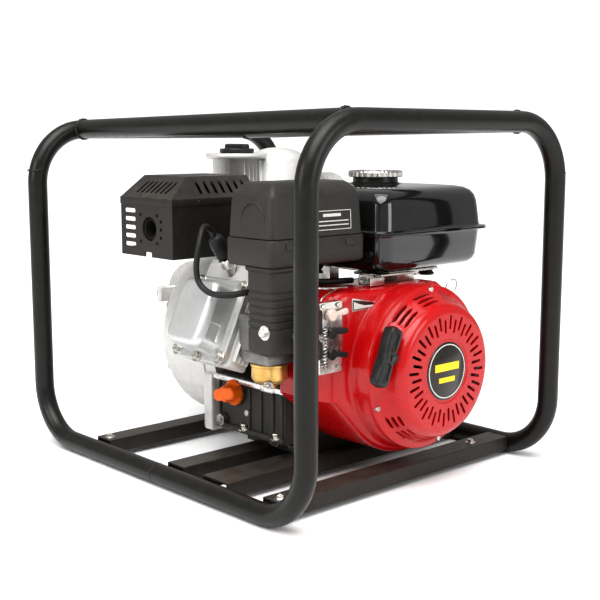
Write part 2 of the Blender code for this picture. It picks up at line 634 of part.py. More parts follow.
def make_pump():
    """Adapter, casing, impeller, seal, suction and delivery fittings and the plugs."""
    back, face = PUMP_BACK_X, PUMP_FACE_X
    adapter = rod("pump_adapter", crank_point(back + GAP), crank_point(-40 - GAP), 118,
                  "cast_silver", sides=40)
    join(adapter, box("adapter_foot", (back + 1.5, -41.5), (-93, 147), (34, 110), bevel=5))
    cut(adapter, rod("adapter_bore", crank_point(back - 10), crank_point(-30), 18))
    depth = back - GAP - face
    casing = turned("pump_casing", crank_point(face), (1, 0, 0),
                    [(PUMP_R, depth), (PUMP_R, 10), (PUMP_R - 3, 3), (PUMP_R - 9, 0), (34, 0),
                     (34, 9), (PUMP_R - 10, 9), (PUMP_R - 10, depth)], "cast_silver", sides=48,
                    ring=True)
    x, y = NECK.x, NECK.y
    neck_base = CRANK.z + PUMP_R - 14
    join(casing, [rod("neck_tube", (x, y, neck_base), (x, y, NECK_TOP - 4), 34),
                  rod("neck_flange", (x, y, NECK_TOP - 7), (x, y, NECK_TOP), 43),
                  turned("chamber", (OUTLET.x, OUTLET.y, CRANK.z + 94), (0, 0, 1),
                         [(0, 159), (14, 158), (28, 154), (39, 148), (45, 139), (45, 0), (0, 0)],
                         sides=32),
                  rod("outlet_boss", (OUTLET.x, OUTLET.y, OUTLET.z), (OUTLET.x, 130, OUTLET.z), 44)])
    cut(casing, [rod("neck_bore", (x, y, neck_base - 12), (x, y, NECK_TOP - 30), 28),
                 rod("neck_mouth", (x, y, NECK_TOP - 40), (x, y, NECK_TOP + 5), 17.5),
                 rod("chamber_bore", (OUTLET.x, OUTLET.y, CRANK.z + 60),
                     (OUTLET.x, OUTLET.y, 372), 37),
                 rod("outlet_bore", (OUTLET.x, OUTLET.y, OUTLET.z), (OUTLET.x, 140, OUTLET.z), 32),
                 rod("casing_drain", (face - 5, CRANK.y, 45), (face + 20, CRANK.y, 45), 6.3, sides=16)])
    impeller = turned("impeller", crank_point(-141), (1, 0, 0),
                      [(88, 33), (88, 28), (30, 24), (18, 8), (18, 0), (12.3, 0), (12.3, 33)],
                      "cast_silver", sides=36, ring=True)
    vanes = []
    for i in range(5):
        vane = box(f"vane_{i}", (-129, -112), (-3, 3), (20, 86))
        turn = Matrix.Rotation(math.radians(72 * i), 4, "X")
        lean = Matrix.Rotation(math.radians(28), 4, "X")
        vane.matrix_world = (Matrix.Translation(crank_point(-120.5) * MM) @ turn
                             @ Matrix.Translation(Vector((0, 0, 50)) * MM) @ lean)
        vanes.append(vane)
    join(impeller, vanes)
    turned("mechanical_seal", crank_point(-83), (1, 0, 0),
           [(27, 21), (27, 12), (22, 10), (22, 0), (15.4, 0), (15.4, 21)], "rubber", sides=24,
           ring=True)
    sy, sz = SUCTION.y, SUCTION.z
    port = turned("suction_port", (face - GAP, sy, sz), (-1, 0, 0),
                  [(37, 88), (38, 86), (38, 62), (42, 61), (42, 8), (50, 7), (50, 0), (32, 0),
                   (32, 88)], "cast_silver", sides=36, ring=True)
    lugs = box("suction_lugs", (face - 66, face - 56), (sy - 74, sy + 74), (sz - 11, sz + 11), bevel=3)
    join(port, lugs)
    cut(port, rod("suction_clear", (face + 5, sy, sz), (face - 100, sy, sz), 32, sides=36))
    flap_x, hinge_z = face - 48, sz + 28
    flap = rod("check_valve_flap", (flap_x, sy, sz), (flap_x + 4, sy, sz), 26, "rubber", sides=24)
    join(flap, rod("flap_pin", (flap_x + 2, sy - 12, hinge_z - 1), (flap_x + 2, sy + 12, hinge_z - 1),
                   2, sides=12))
    outlet = turned("delivery_outlet", (OUTLET.x, 130 + GAP, OUTLET.z), (0, 1, 0),
                    [(37, OUTLET_END - 130), (39, OUTLET_END - 133), (39, 10), (48, 9), (48, 0),
                     (32, 0), (32, OUTLET_END - 130)], "cast_silver", sides=36, ring=True)
    outlet.data.materials[0] = finish("cast_silver")
    plug = rod("priming_plug", (x, y, NECK_TOP + GAP), (x, y, NECK_TOP + 6), 21, "black_plastic")
    join(plug, [rod("plug_thread", (x, y, NECK_TOP - 16), (x, y, NECK_TOP + 2), 17),
                box("plug_bar", (x - 21, x + 21), (y - 5, y + 5), (NECK_TOP + 4, NECK_TOP + 13))])
    drain = rod("pump_drain_plug", (face - GAP, CRANK.y, 45), (face - 10, CRANK.y, 45), 10,
                "zinc", sides=6)
    join(drain, rod("drain_plug_thread", (face - 4, CRANK.y, 45), (face + 12, CRANK.y, 45), 6,
                    sides=16))


def main():
    """Build every sub-part."""
    clear_scene()
    make_frame()
    make_crankcase()
    boot_end, boot_axis = make_cylinder()
    make_ignition_lead(boot_end, boot_axis)
    make_fan_and_starter()
    make_fuel_system()
    make_air_cleaner()
    make_muffler()
    make_pump()


main()
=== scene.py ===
"""Portable fire pump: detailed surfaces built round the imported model.

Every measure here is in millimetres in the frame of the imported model: X runs along the crankshaft
from the pump to the recoil starter, Y from the air cleaner to the fuel tank, and Z is up. Shape turns
the measures into metres when it makes a mesh.
"""
from __future__ import annotations

import json
import logging
import math
from dataclasses import dataclass
from enum import Enum
from typing import Callable, Iterable, Sequence

import bmesh
import bpy
from mathutils import Matrix, Vector

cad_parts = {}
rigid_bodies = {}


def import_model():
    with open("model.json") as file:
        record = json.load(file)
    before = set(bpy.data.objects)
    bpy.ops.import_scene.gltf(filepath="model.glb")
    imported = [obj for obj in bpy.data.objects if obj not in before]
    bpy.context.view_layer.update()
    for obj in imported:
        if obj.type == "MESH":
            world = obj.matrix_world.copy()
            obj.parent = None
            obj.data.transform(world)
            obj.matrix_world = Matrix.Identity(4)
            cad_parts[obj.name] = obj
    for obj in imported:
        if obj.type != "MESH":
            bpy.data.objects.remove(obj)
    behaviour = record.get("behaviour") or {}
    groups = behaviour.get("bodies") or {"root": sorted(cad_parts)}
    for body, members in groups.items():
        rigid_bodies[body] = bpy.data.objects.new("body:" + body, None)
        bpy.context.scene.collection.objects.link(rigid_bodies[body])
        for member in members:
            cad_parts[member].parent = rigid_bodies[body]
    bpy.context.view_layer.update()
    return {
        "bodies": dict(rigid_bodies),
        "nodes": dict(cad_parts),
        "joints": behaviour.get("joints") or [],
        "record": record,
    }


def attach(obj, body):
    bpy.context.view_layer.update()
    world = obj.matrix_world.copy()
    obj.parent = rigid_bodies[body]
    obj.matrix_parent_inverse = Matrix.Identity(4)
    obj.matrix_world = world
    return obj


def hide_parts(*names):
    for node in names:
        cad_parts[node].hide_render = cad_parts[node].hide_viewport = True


LOG = logging.getLogger("fire_pump")
MM = 0.001
FRAME_BODY = "frame"

Point = Sequence[float]
Loop = list[Vector]


class Pattern(Enum):
    """The ways a surface can be grained."""

    POWDER = "powder coat"
    GLOSS = "gloss paint"
    CAST = "sand cast"
    MOULDED = "moulded plastic"
    BRUSHED = "brushed metal"
    POLISHED = "polished metal"
    SOFT = "rubber"
    FOAM = "foam"


@dataclass(frozen=True)
class Finish:
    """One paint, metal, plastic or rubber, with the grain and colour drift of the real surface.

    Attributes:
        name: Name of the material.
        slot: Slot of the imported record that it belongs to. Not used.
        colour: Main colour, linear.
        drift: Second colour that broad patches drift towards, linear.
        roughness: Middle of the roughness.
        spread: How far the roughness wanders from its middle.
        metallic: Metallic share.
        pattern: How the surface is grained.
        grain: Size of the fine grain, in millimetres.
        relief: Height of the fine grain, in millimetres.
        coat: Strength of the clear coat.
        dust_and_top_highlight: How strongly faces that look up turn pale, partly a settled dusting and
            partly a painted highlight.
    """

    name: str
    slot: str
    colour: tuple[float, float, float]
    drift: tuple[float, float, float]
    roughness: float
    spread: float = 0.06
    metallic: float = 0.0
    pattern: Pattern = Pattern.MOULDED
    grain: float = 1.2
    relief: float = 0.02
    coat: float = 0.0
    dust_and_top_highlight: float = 0.0

    def material(self) -> bpy.types.Material:
        """Return the node material of this finish, made once.

        Returns:
            The material, shared by every piece that wears the finish.
        """
        found = bpy.data.materials.get(self.name)
        if found is not None:
            return found
        material = bpy.data.materials.new(self.name)
        material.use_nodes = True
        self._wire(material.node_tree)
        return material

    def _wire(self, tree: bpy.types.NodeTree) -> None:
        """Build the node graph.

        Args:
            tree: Node tree of a new material, holding its Principled shader.
        """
        nodes, links = tree.nodes, tree.links
        shader = nodes["Principled BSDF"]
        shader.inputs["Metallic"].default_value = self.metallic
        shader.inputs["Coat Weight"].default_value = self.coat
        shader.inputs["Specular IOR Level"].default_value = 0.5 if self.metallic > 0.3 else 0.28
        shader.inputs["Coat Roughness"].default_value = 0.06
        place = nodes.new("ShaderNodeTexCoord")
        stretch = nodes.new("ShaderNodeMapping")
        links.new(place.outputs["Object"], stretch.inputs["Vector"])
        if self.pattern is Pattern.BRUSHED:
            stretch.inputs["Scale"].default_value = (1.0, 1.0, 14.0)
        patches = self._noise(tree, place.outputs["Object"], 14.0, 4.0, 0.6)
        clouds = self._noise(tree, place.outputs["Object"], 95.0, 3.0, 0.55)
        fine = self._noise(tree, stretch.outputs["Vector"], 1.0 / (self.grain * MM), 5.0, 0.65)

        tint = nodes.new("ShaderNodeMix")
        tint.data_type = "RGBA"
        tint.inputs["A"].default_value = (*self.colour, 1.0)
        tint.inputs["B"].default_value = (*self.drift, 1.0)
        blend = self._maths(tree, "MULTIPLY", patches, clouds)
        level = self._range(tree, blend, (0.12, 0.42), (0.0, 1.0))
        links.new(level, tint.inputs["Factor"])
        colour = tint.outputs["Result"]
        # Faces that look up turn paler here: partly a settled dusting, partly a painted highlight from
        # the light above.
        if self.dust_and_top_highlight:
            colour = self._lay_dust_and_top_highlight(tree, colour, clouds)
        if self.pattern is Pattern.CAST:
            colour = self._pitted(tree, colour, fine)
        links.new(colour, shader.inputs["Base Color"])

        wander = self._range(tree, clouds, (0.3, 0.7),
                             (max(0.02, self.roughness - self.spread), self.roughness + self.spread))
        links.new(wander, shader.inputs["Roughness"])

        bump = nodes.new("ShaderNodeBump")
        bump.inputs["Strength"].default_value = 0.55
        bump.inputs["Distance"].default_value = self.relief * MM
        links.new(fine, bump.inputs["Height"])
        if self.pattern in (Pattern.GLOSS, Pattern.POLISHED, Pattern.POWDER):
            waves = nodes.new("ShaderNodeBump")
            waves.inputs["Strength"].default_value = 0.25
            waves.inputs["Distance"].default_value = 0.05 * MM
            links.new(clouds, waves.inputs["Height"])
            links.new(bump.outputs["Normal"], waves.inputs["Normal"])
            bump = waves
        links.new(bump.outputs["Normal"], shader.inputs["Normal"])

    @staticmethod
    def _noise(tree: bpy.types.NodeTree, where: bpy.types.NodeSocket, scale: float, detail: float,
               rough: float) -> bpy.types.NodeSocket:
        """Add a noise texture.

        Args:
            tree: Tree to add to.
            where: Socket that gives the position.
            scale: Cells per metre.
            detail: Octaves.
            rough: Roughness of the octaves.

        Returns:
            The noise's value.
        """
        noise = tree.nodes.new("ShaderNodeTexNoise")
        noise.inputs["Scale"].default_value = scale
        noise.inputs["Detail"].default_value = detail
        noise.inputs["Roughness"].default_value = rough
        tree.links.new(where, noise.inputs["Vector"])
        return noise.outputs["Fac"]

    @staticmethod
    def _maths(tree: bpy.types.NodeTree, operation: str, first: bpy.types.NodeSocket,
               second: bpy.types.NodeSocket) -> bpy.types.NodeSocket:
        """Join two values by a sum, and return the result's socket."""
        node = tree.nodes.new("ShaderNodeMath")
        node.operation = operation
        tree.links.new(first, node.inputs[0])
        tree.links.new(second, node.inputs[1])
        return node.outputs[0]

    @staticmethod
    def _range(tree: bpy.types.NodeTree, value: bpy.types.NodeSocket, old: tuple[float, float],
               new: tuple[float, float]) -> bpy.types.NodeSocket:
        """Map one range of a value on another, and return the result's socket."""
        node = tree.nodes.new("ShaderNodeMapRange")
        node.inputs["From Min"].default_value, node.inputs["From Max"].default_value = old
        node.inputs["To Min"].default_value, node.inputs["To Max"].default_value = new
        tree.links.new(value, node.inputs["Value"])
        return node.outputs["Result"]

    def _lay_dust_and_top_highlight(self, tree: bpy.types.NodeTree, colour: bpy.types.NodeSocket,
                clouds: bpy.types.NodeSocket) -> bpy.types.NodeSocket:
        """Lay a pale tint on the faces that look up, partly a settled dusting and partly a painted
        highlight.

        Args:
            tree: Tree to add to.
            colour: Colour under the dusting and painted highlight.
            clouds: Noise that breaks the tint up.

        Returns:
            The colour with the dusting and painted highlight.
        """
        nodes, links = tree.nodes, tree.links
        shape = nodes.new("ShaderNodeNewGeometry")
        split = nodes.new("ShaderNodeSeparateXYZ")
        links.new(shape.outputs["Normal"], split.inputs["Vector"])
        upward = self._range(tree, split.outputs["Z"], (0.25, 1.0), (0.0, self.dust_and_top_highlight))
        share = self._maths(tree, "MULTIPLY", upward, clouds)
        mix = nodes.new("ShaderNodeMix")
        mix.data_type = "RGBA"
        # Pale tint of the dusting, which also serves as a painted highlight on faces that look up.
        mix.inputs["B"].default_value = (0.34, 0.31, 0.27, 1.0)
        links.new(colour, mix.inputs["A"])
        links.new(share, mix.inputs["Factor"])
        return mix.outputs["Result"]

    def _pitted(self, tree: bpy.types.NodeTree, colour: bpy.types.NodeSocket,
                fine: bpy.types.NodeSocket) -> bpy.types.NodeSocket:
        """Darken the pits of a casting, and return the colour."""
        pits = self._range(tree, fine, (0.3, 0.5), (0.35, 0.0))
        mix = tree.nodes.new("ShaderNodeMix")
        mix.data_type = "RGBA"
        mix.inputs["B"].default_value = (*[c * 0.45 for c in self.colour], 1.0)
        tree.links.new(colour, mix.inputs["A"])
        tree.links.new(pits, mix.inputs["Factor"])
        return mix.outputs["Result"]


FRAME_COAT = Finish("satin_black_powder_coat", "frame_black", (0.0065, 0.0062, 0.0052),
                    (0.011, 0.0104, 0.009), 0.33, 0.05, 0.0, Pattern.POWDER, 1.1, 0.035, 0.0, 0.03)
BEAM_PAINT = Finish("dull_black_beam_paint", "beam_steel", (0.015, 0.0125, 0.0105),
                    (0.028, 0.023, 0.019), 0.42, 0.08, 0.1, Pattern.POWDER, 1.6, 0.05, 0.0, 0.15)
DARK_CASTING = Finish("dark_casting", "cast_dark", (0.032, 0.032, 0.029), (0.055, 0.052, 0.046),
                      0.5, 0.08, 0.3, Pattern.CAST, 1.4, 0.12, 0.0, 0.1)
SILVER_CASTING = Finish("silver_painted_casting", "cast_silver", (0.66, 0.65, 0.63),
                        (0.58, 0.57, 0.55), 0.42, 0.08, 0.35, Pattern.CAST, 1.0, 0.05)
COVER_METAL = Finish("bright_cover_metal", "cast_silver", (0.72, 0.72, 0.72), (0.6, 0.6, 0.61),
                     0.24, 0.07, 0.85, Pattern.POLISHED, 1.0, 0.02)
COVER_SATIN = Finish("satin_cover_metal", "cast_silver", (0.62, 0.62, 0.61), (0.5, 0.5, 0.5), 0.36,
                     0.08, 0.7, Pattern.POLISHED, 1.0, 0.03)
CARB_METAL = Finish("dull_zinc_casting", "cast_silver", (0.26, 0.26, 0.25), (0.17, 0.165, 0.155),
                    0.45, 0.08, 0.7, Pattern.CAST, 1.0, 0.05)
RED_PAINT = Finish("red_gloss_paint", "red_paint", (0.45, 0.002, 0.004), (0.37, 0.0015, 0.003),
                   0.3, 0.04, 0.0, Pattern.GLOSS, 0.9, 0.008, 0.35)
TANK_PAINT = Finish("black_gloss_tank_paint", "black_gloss", (0.007, 0.007, 0.0075),
                    (0.011, 0.011, 0.011), 0.13, 0.03, 0.0, Pattern.GLOSS, 0.8, 0.006, 0.8)
BLACK_PLASTIC = Finish("grained_black_plastic", "black_plastic", (0.024, 0.0225, 0.0195),
                       (0.03, 0.028, 0.0245), 0.48, 0.05, 0.0, Pattern.MOULDED, 0.7, 0.03, 0.0, 0.1)
GRIP_PLASTIC = Finish("smooth_black_plastic", "black_plastic", (0.014, 0.014, 0.0135),
                      (0.024, 0.024, 0.023), 0.32, 0.06, 0.0, Pattern.MOULDED, 0.9, 0.015)
HEAT_PAINT = Finish("matt_heat_paint", "black_heat", (0.018, 0.0158, 0.014), (0.028, 0.024, 0.0215),
                    0.46, 0.07, 0.1, Pattern.POWDER, 1.0, 0.04, 0.0, 0.2)
SOOT = Finish("sooty_steel", "black_heat", (0.008, 0.0078, 0.0072), (0.016, 0.014, 0.012), 0.75,
              0.08, 0.2, Pattern.CAST, 1.2, 0.05)
MACHINED = Finish("machined_steel", "steel", (0.5, 0.5, 0.5), (0.4, 0.4, 0.4), 0.3, 0.08, 1.0,
                  Pattern.BRUSHED, 0.8, 0.02)
ZINC = Finish("zinc_plate", "zinc", (0.62, 0.61, 0.58), (0.5, 0.48, 0.44), 0.27, 0.08, 1.0,
              Pattern.BRUSHED, 0.9, 0.015)
BRASS = Finish("satin_brass", "brass", (0.7, 0.46, 0.16), (0.55, 0.34, 0.11), 0.34, 0.08, 0.85,
               Pattern.POLISHED, 1.0, 0.02)
ORANGE = Finish("orange_plastic_gloss", "orange_plastic", (0.86, 0.15, 0.004), (0.76, 0.115, 0.003),
                0.38, 0.05, 0.0, Pattern.MOULDED, 0.8, 0.015)
CREAM = Finish("cream_plastic_semi_gloss", "cream_plastic", (0.68, 0.56, 0.5), (0.6, 0.48, 0.42),
               0.4, 0.05, 0.0, Pattern.MOULDED, 0.8, 0.015)
RUBBER = Finish("black_rubber", "rubber", (0.012, 0.012, 0.0115), (0.02, 0.02, 0.019), 0.5, 0.07,
                0.0, Pattern.SOFT, 1.2, 0.03)
FOAM = Finish("oiled_filter_foam", "filter_foam", (0.3, 0.24, 0.13), (0.22, 0.17, 0.09), 0.9, 0.03,
              0.0, Pattern.FOAM, 2.2, 0.4)
BADGE_YELLOW = Finish("badge_yellow_ink", "black_plastic", (0.8, 0.6, 0.02), (0.74, 0.54, 0.02),
                      0.4, 0.04, 0.0, Pattern.GLOSS, 0.8, 0.004)
BADGE_WHITE = Finish("badge_white_ink", "black_plastic", (0.62, 0.61, 0.58), (0.52, 0.51, 0.48),
                     0.4, 0.04, 0.0, Pattern.GLOSS, 0.8, 0.004)
BADGE_BLACK = Finish("badge_black_film", "black_plastic", (0.012, 0.009, 0.007),
                     (0.018, 0.014, 0.012), 0.3, 0.04, 0.0, Pattern.GLOSS, 0.8, 0.004, 0.3)


def unit(direction: Point) -> Vector:
    """Return a direction as a vector of length one."""
    return Vector(direction).normalized()


def turn_to(direction: Point) -> Matrix:
    """Return the rotation that lays local Z along a direction."""
    return unit(direction).to_track_quat("Z", "Y").to_matrix()


def rounded_path(corners: Sequence[Point], radii: Sequence[float], steps: int = 12) -> Loop:
    """Round the inner corners of a path.

    Args:
        corners: Corner points of the path.
        radii: Bend radius at each inner corner.
        steps: Short straights in each bend.

    Returns:
        The points of the rounded path.
    """
    points = [Vector(c) for c in corners]
    path = [points[0]]
    for before, here, after, radius in zip(points, points[1:], points[2:], radii):
        into, out = (here - before).normalized(), (after - here).normalized()
        angle = into.angle(out)
        start = here - into * radius * math.tan(angle / 2)
        middle = start + (out - into * into.dot(out)).normalized() * radius
        spoke = (start - middle).normalized()
        for i in range(steps + 1):
            turn = angle * i / steps
            path.append(middle + spoke * radius * math.cos(turn) + into * radius * math.sin(turn))
    path.append(points[-1])
    return path


def smooth_path(points: Sequence[Point], steps: int = 8) -> Loop:
    """Run a smooth curve through points.

    Args:
        points: Points that the curve goes through.
        steps: Short straights between two points.

    Returns:
        The points of the curve.
    """
    knots = [Vector(p) for p in points]
    knots = [knots[0] * 2 - knots[1], *knots, knots[-1] * 2 - knots[-2]]
    path: Loop = []
    for a, b, c, d in zip(knots, knots[1:], knots[2:], knots[3:]):
        for i in range(steps):
            t = i / steps
            path.append(0.5 * ((2 * b) + (c - a) * t + (2 * a - 5 * b + 4 * c - d) * t * t
                               + (3 * b - a - 3 * c + d) * t ** 3))
    path.append(knots[-2])
    return path


def rounded_rectangle(half_x: float, half_y: float, radius: float, steps: int = 8) -> list[tuple]:
    """Return the outline of a rectangle with round corners, as (x, y) pairs about its centre."""
    radius = max(0.01, min(radius, half_x - 0.01, half_y - 0.01))
    outline = []
    for corner in range(4):
        side_x = half_x - radius if corner in (0, 3) else radius - half_x
        side_y = half_y - radius if corner in (0, 1) else radius - half_y
        for i in range(steps + 1):
            turn = math.radians(90 * corner + 90 * i / steps)
            outline.append((side_x + radius * math.cos(turn), side_y + radius * math.sin(turn)))
    return outline


def circle(radius: float, sides: int, start: float = 0.0) -> list[tuple]:
    """Return the corners of a regular polygon as (x, y) pairs."""
    return [(radius * math.cos(start + math.tau * i / sides),
             radius * math.sin(start + math.tau * i / sides)) for i in range(sides)]


class Shape:
    """A mesh in the making, measured in millimetres in the model's frame."""

    def __init__(self) -> None:
        """Start with nothing."""
        self.mesh = bmesh.new()

    def loft(self, loops: Sequence[Sequence[Point]], cap: bool = True, ring: bool = False) -> Shape:
        """Skin a row of loops that have the same number of points.

        Args:
            loops: The loops, in order.
            cap: Whether the first and last loops are closed with a face.
            ring: Whether the last loop joins the first.

        Returns:
            This shape.
        """
        rows = [[self.mesh.verts.new(Vector(p) * MM) for p in loop] for loop in loops]
        pairs = list(zip(rows, rows[1:])) + ([(rows[-1], rows[0])] if ring else [])
        for low, high in pairs:
            for i in range(len(low)):
                j = (i + 1) % len(low)
                self.mesh.faces.new((low[i], low[j], high[j], high[i]))
        if cap and not ring:
            self.mesh.faces.new(list(reversed(rows[0])))
            self.mesh.faces.new(rows[-1])
        return self

    def lathe(self, profile: Sequence[tuple[float, float]], base: Point, direction: Point,
              sides: int = 48, ring: bool = False,
              wobble: Callable[[float], float] | None = None) -> Shape:
        """Turn a profile about an axis.

        Args:
            profile: Pairs of radius and height along the axis.
            base: Point on the axis where the height is nought.
            direction: Direction of the axis.
            sides: Sides of the turned shape.
            ring: Whether the profile closes on itself.
            wobble: Change of radius by angle, for knurls and beads.

        Returns:
            This shape.
        """
        turn, foot = turn_to(direction), Vector(base)
        loops = []
        for radius, height in profile:
            row = []
            for i in range(sides):
                angle = math.tau * i / sides
                out = max(radius, 0.02) + (wobble(angle) if wobble and radius > 0.1 else 0.0)
                spot = Vector((out * math.cos(angle), out * math.sin(angle), height))
                row.append(foot + turn @ spot)
            loops.append(row)
        return self.loft(loops, ring=ring)

    def tube(self, points: Sequence[Point], radius: float, sides: int = 16,
             closed: bool = False) -> Shape:
        """Sweep a round section along points.

        Args:
            points: Points of the middle line.
            radius: Radius of the section.
            sides: Sides of the section.
            closed: Whether the sweep joins its own start.

        Returns:
            This shape.
        """
        path = [Vector(p) for p in points]
        count = len(path)
        headings = []
        for i in range(count):
            before = path[i - 1] if (i or closed) else path[0]
            after = path[(i + 1) % count] if (i < count - 1 or closed) else path[-1]
            headings.append((after - before).normalized())
        side = headings[0].orthogonal().normalized()
        loops = []
        for i, heading in enumerate(headings):
            if i:
                side = headings[i - 1].rotation_difference(heading) @ side
                side = (side - heading * side.dot(heading)).normalized()
            other = heading.cross(side)
            loops.append([path[i] + side * x + other * y for x, y in circle(radius, sides)])
        return self.loft(loops, ring=closed)

    def block(self, x: Point, y: Point, z: Point, round_by: float = 1.0, segments: int = 3,
              turn: Matrix | None = None, about: Point | None = None) -> Shape:
        """Add a box with rounded edges.

        Args:
            x: Lowest and highest X.
            y: Lowest and highest Y.
            z: Lowest and highest Z.
            round_by: Radius of the edges.
            segments: Steps in each rounded edge.
            turn: Rotation of the box.
            about: Point that the rotation turns about, the box's middle if left out.

        Returns:
            This shape.
        """
        middle = Vector(((x[0] + x[1]) / 2, (y[0] + y[1]) / 2, (z[0] + z[1]) / 2))
        size = Vector((x[1] - x[0], y[1] - y[0], z[1] - z[0]))
        box = bmesh.new()
        bmesh.ops.create_cube(box, size=1.0, matrix=Matrix.Diagonal((*(size * MM), 1.0)))
        if round_by:
            bmesh.ops.bevel(box, geom=box.edges[:], offset=min(round_by, min(size) * 0.45) * MM,
                            segments=segments, profile=0.5, affect="EDGES")
        matrix = Matrix.Translation(middle * MM)
        if turn is not None:
            pivot = (Vector(about) if about is not None else middle) * MM
            matrix = (Matrix.Translation(pivot) @ turn.to_4x4() @ Matrix.Translation(-pivot)
                      @ matrix)
        bmesh.ops.transform(box, matrix=matrix, verts=box.verts)
        self._take(box)
        return self

    def stack(self, outline: Callable[[float], list[tuple]], levels: Sequence[tuple[float, float]],
              place: Matrix) -> Shape:
        """Skin outlines that draw in as they rise.

        Args:
            outline: Gives the outline for an inset, as (x, y) pairs.
            levels: Pairs of inset and height.
            place: Lays the outlines' own X, Y and height in the frame.

        Returns:
            This shape.
        """
        return self.loft([[place @ Vector((x, y, height)) for x, y in outline(inset)]
                          for inset, height in levels])

    def bolt(self, spot: Point, axis: Point, size: float = 10.0, washer: bool = True) -> Shape:
        """Add a hexagon bolt head with its washer.

        Args:
            spot: Middle of the seat.
            axis: Direction in which the head stands up.
            size: Width across the flats.
            washer: Whether there is a washer under the head.

        Returns:
            This shape.
        """
        corner, seat = size / math.sqrt(3), 0.0
        if washer:
            seat = size * 0.14
            self.lathe([(size * 0.95, -0.4), (size * 0.95, seat * 0.7), (size * 0.9, seat),
                        (size * 0.2, seat)], spot, axis, 28)
        top = seat + size * 0.5
        turn, foot = turn_to(axis), Vector(spot)
        loops = []
        for radius, height in ((corner, seat - 0.3), (corner, top - 0.8), (corner * 0.86, top),
                               (corner * 0.5, top), (corner * 0.45, top - 0.4)):
            loops.append([foot + turn @ Vector((x, y, height)) for x, y in circle(radius, 6, 0.3)])
        return self.loft(loops)

    def _take(self, other: bmesh.types.BMesh) -> None:
        """Move another mesh's faces into this one."""
        carrier = bpy.data.meshes.new("carrier")
        other.to_mesh(carrier)
        other.free()
        self.mesh.from_mesh(carrier)
        bpy.data.meshes.remove(carrier)

    def to_object(self, name: str) -> bpy.types.Object:
        """Close the shape, and return it as an object."""
        bmesh.ops.recalc_face_normals(self.mesh, faces=self.mesh.faces[:])
        data = bpy.data.meshes.new(name)
        self.mesh.to_mesh(data)
        self.mesh.free()
        made = bpy.data.objects.new(name, data)
        bpy.context.scene.collection.objects.link(made)
        return made


def carve(target: bpy.types.Object, cutter: Shape, operation: str = "DIFFERENCE") -> None:
    """Cut a shape out of an object, or join it on, in the object's mesh.

    Args:
        target: Object that is changed.
        cutter: Shape that is cut out or joined.
        operation: Name of the Boolean operation.
    """
    tool = cutter.to_object("tool")
    step = target.modifiers.new("carve", "BOOLEAN")
    step.operation = operation
    step.solver = "EXACT"
    step.object = tool
    bpy.context.view_layer.update()
    graph = bpy.context.evaluated_depsgraph_get()
    result = bpy.data.meshes.new_from_object(target.evaluated_get(graph))
    target.modifiers.clear()
    old = target.data
    target.data = result
    bpy.data.meshes.remove(old)
    bpy.data.objects.remove(tool, do_unlink=True)


def wear(made: bpy.types.Object, finish: Finish, body: str, stands_for: Iterable[str] = (),
         edge: float = 0.0, crease: float = 38.0) -> bpy.types.Object:
    """Give an object its finish, its soft edges and the body it rides on.

    Args:
        made: The object.
        finish: Its finish.
        body: CAD body that it rides on.
        stands_for: CAD nodes that it replaces.
        edge: Radius of the soft edges, none if nought.
        crease: Angle over which an edge stays crisp, in degrees.

    Returns:
        The object.
    """
    made.data.materials.clear()
    made.data.materials.append(finish.material())
    made.data.shade_smooth()
    made.data.set_sharp_from_angle(angle=math.radians(crease))
    if edge:
        soften = made.modifiers.new("soft edges", "BEVEL")
        soften.limit_method = "ANGLE"
        soften.angle_limit = math.radians(crease)
        soften.width = edge * MM
        soften.segments = 2
        soften.use_clamp_overlap = True
        soften.harden_normals = True
    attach(made, body)
    nodes = list(stands_for)
    if nodes:
        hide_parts(*nodes)
    LOG.info("made %s for %s", made.name, nodes or body)
    return made


def refine(frame: dict, node: str, finish: Finish, body: str = FRAME_BODY,
           edge: float = 0.6) -> bpy.types.Object:
    """Stand a clean copy of a CAD node in its place, with soft edges and a finish.

    Args:
        node: Name of the CAD node.
        finish: Finish of the copy.
        body: CAD body that it rides on.
        edge: Radius of the soft edges.

    Returns:
        The copy.
    """
    shape = bmesh.new()
    shape.from_mesh(frame["nodes"][node].data)
    bmesh.ops.remove_doubles(shape, verts=shape.verts, dist=0.000002)
    if edge:
        bmesh.ops.dissolve_limit(shape, angle_limit=math.radians(0.6), verts=shape.verts,
                                 edges=shape.edges)
    data = bpy.data.meshes.new(node + "_surface")
    shape.to_mesh(data)
    shape.free()
    made = bpy.data.objects.new(node + "_surface", data)
    bpy.context.scene.collection.objects.link(made)
    return wear(made, finish, body, [node], edge)


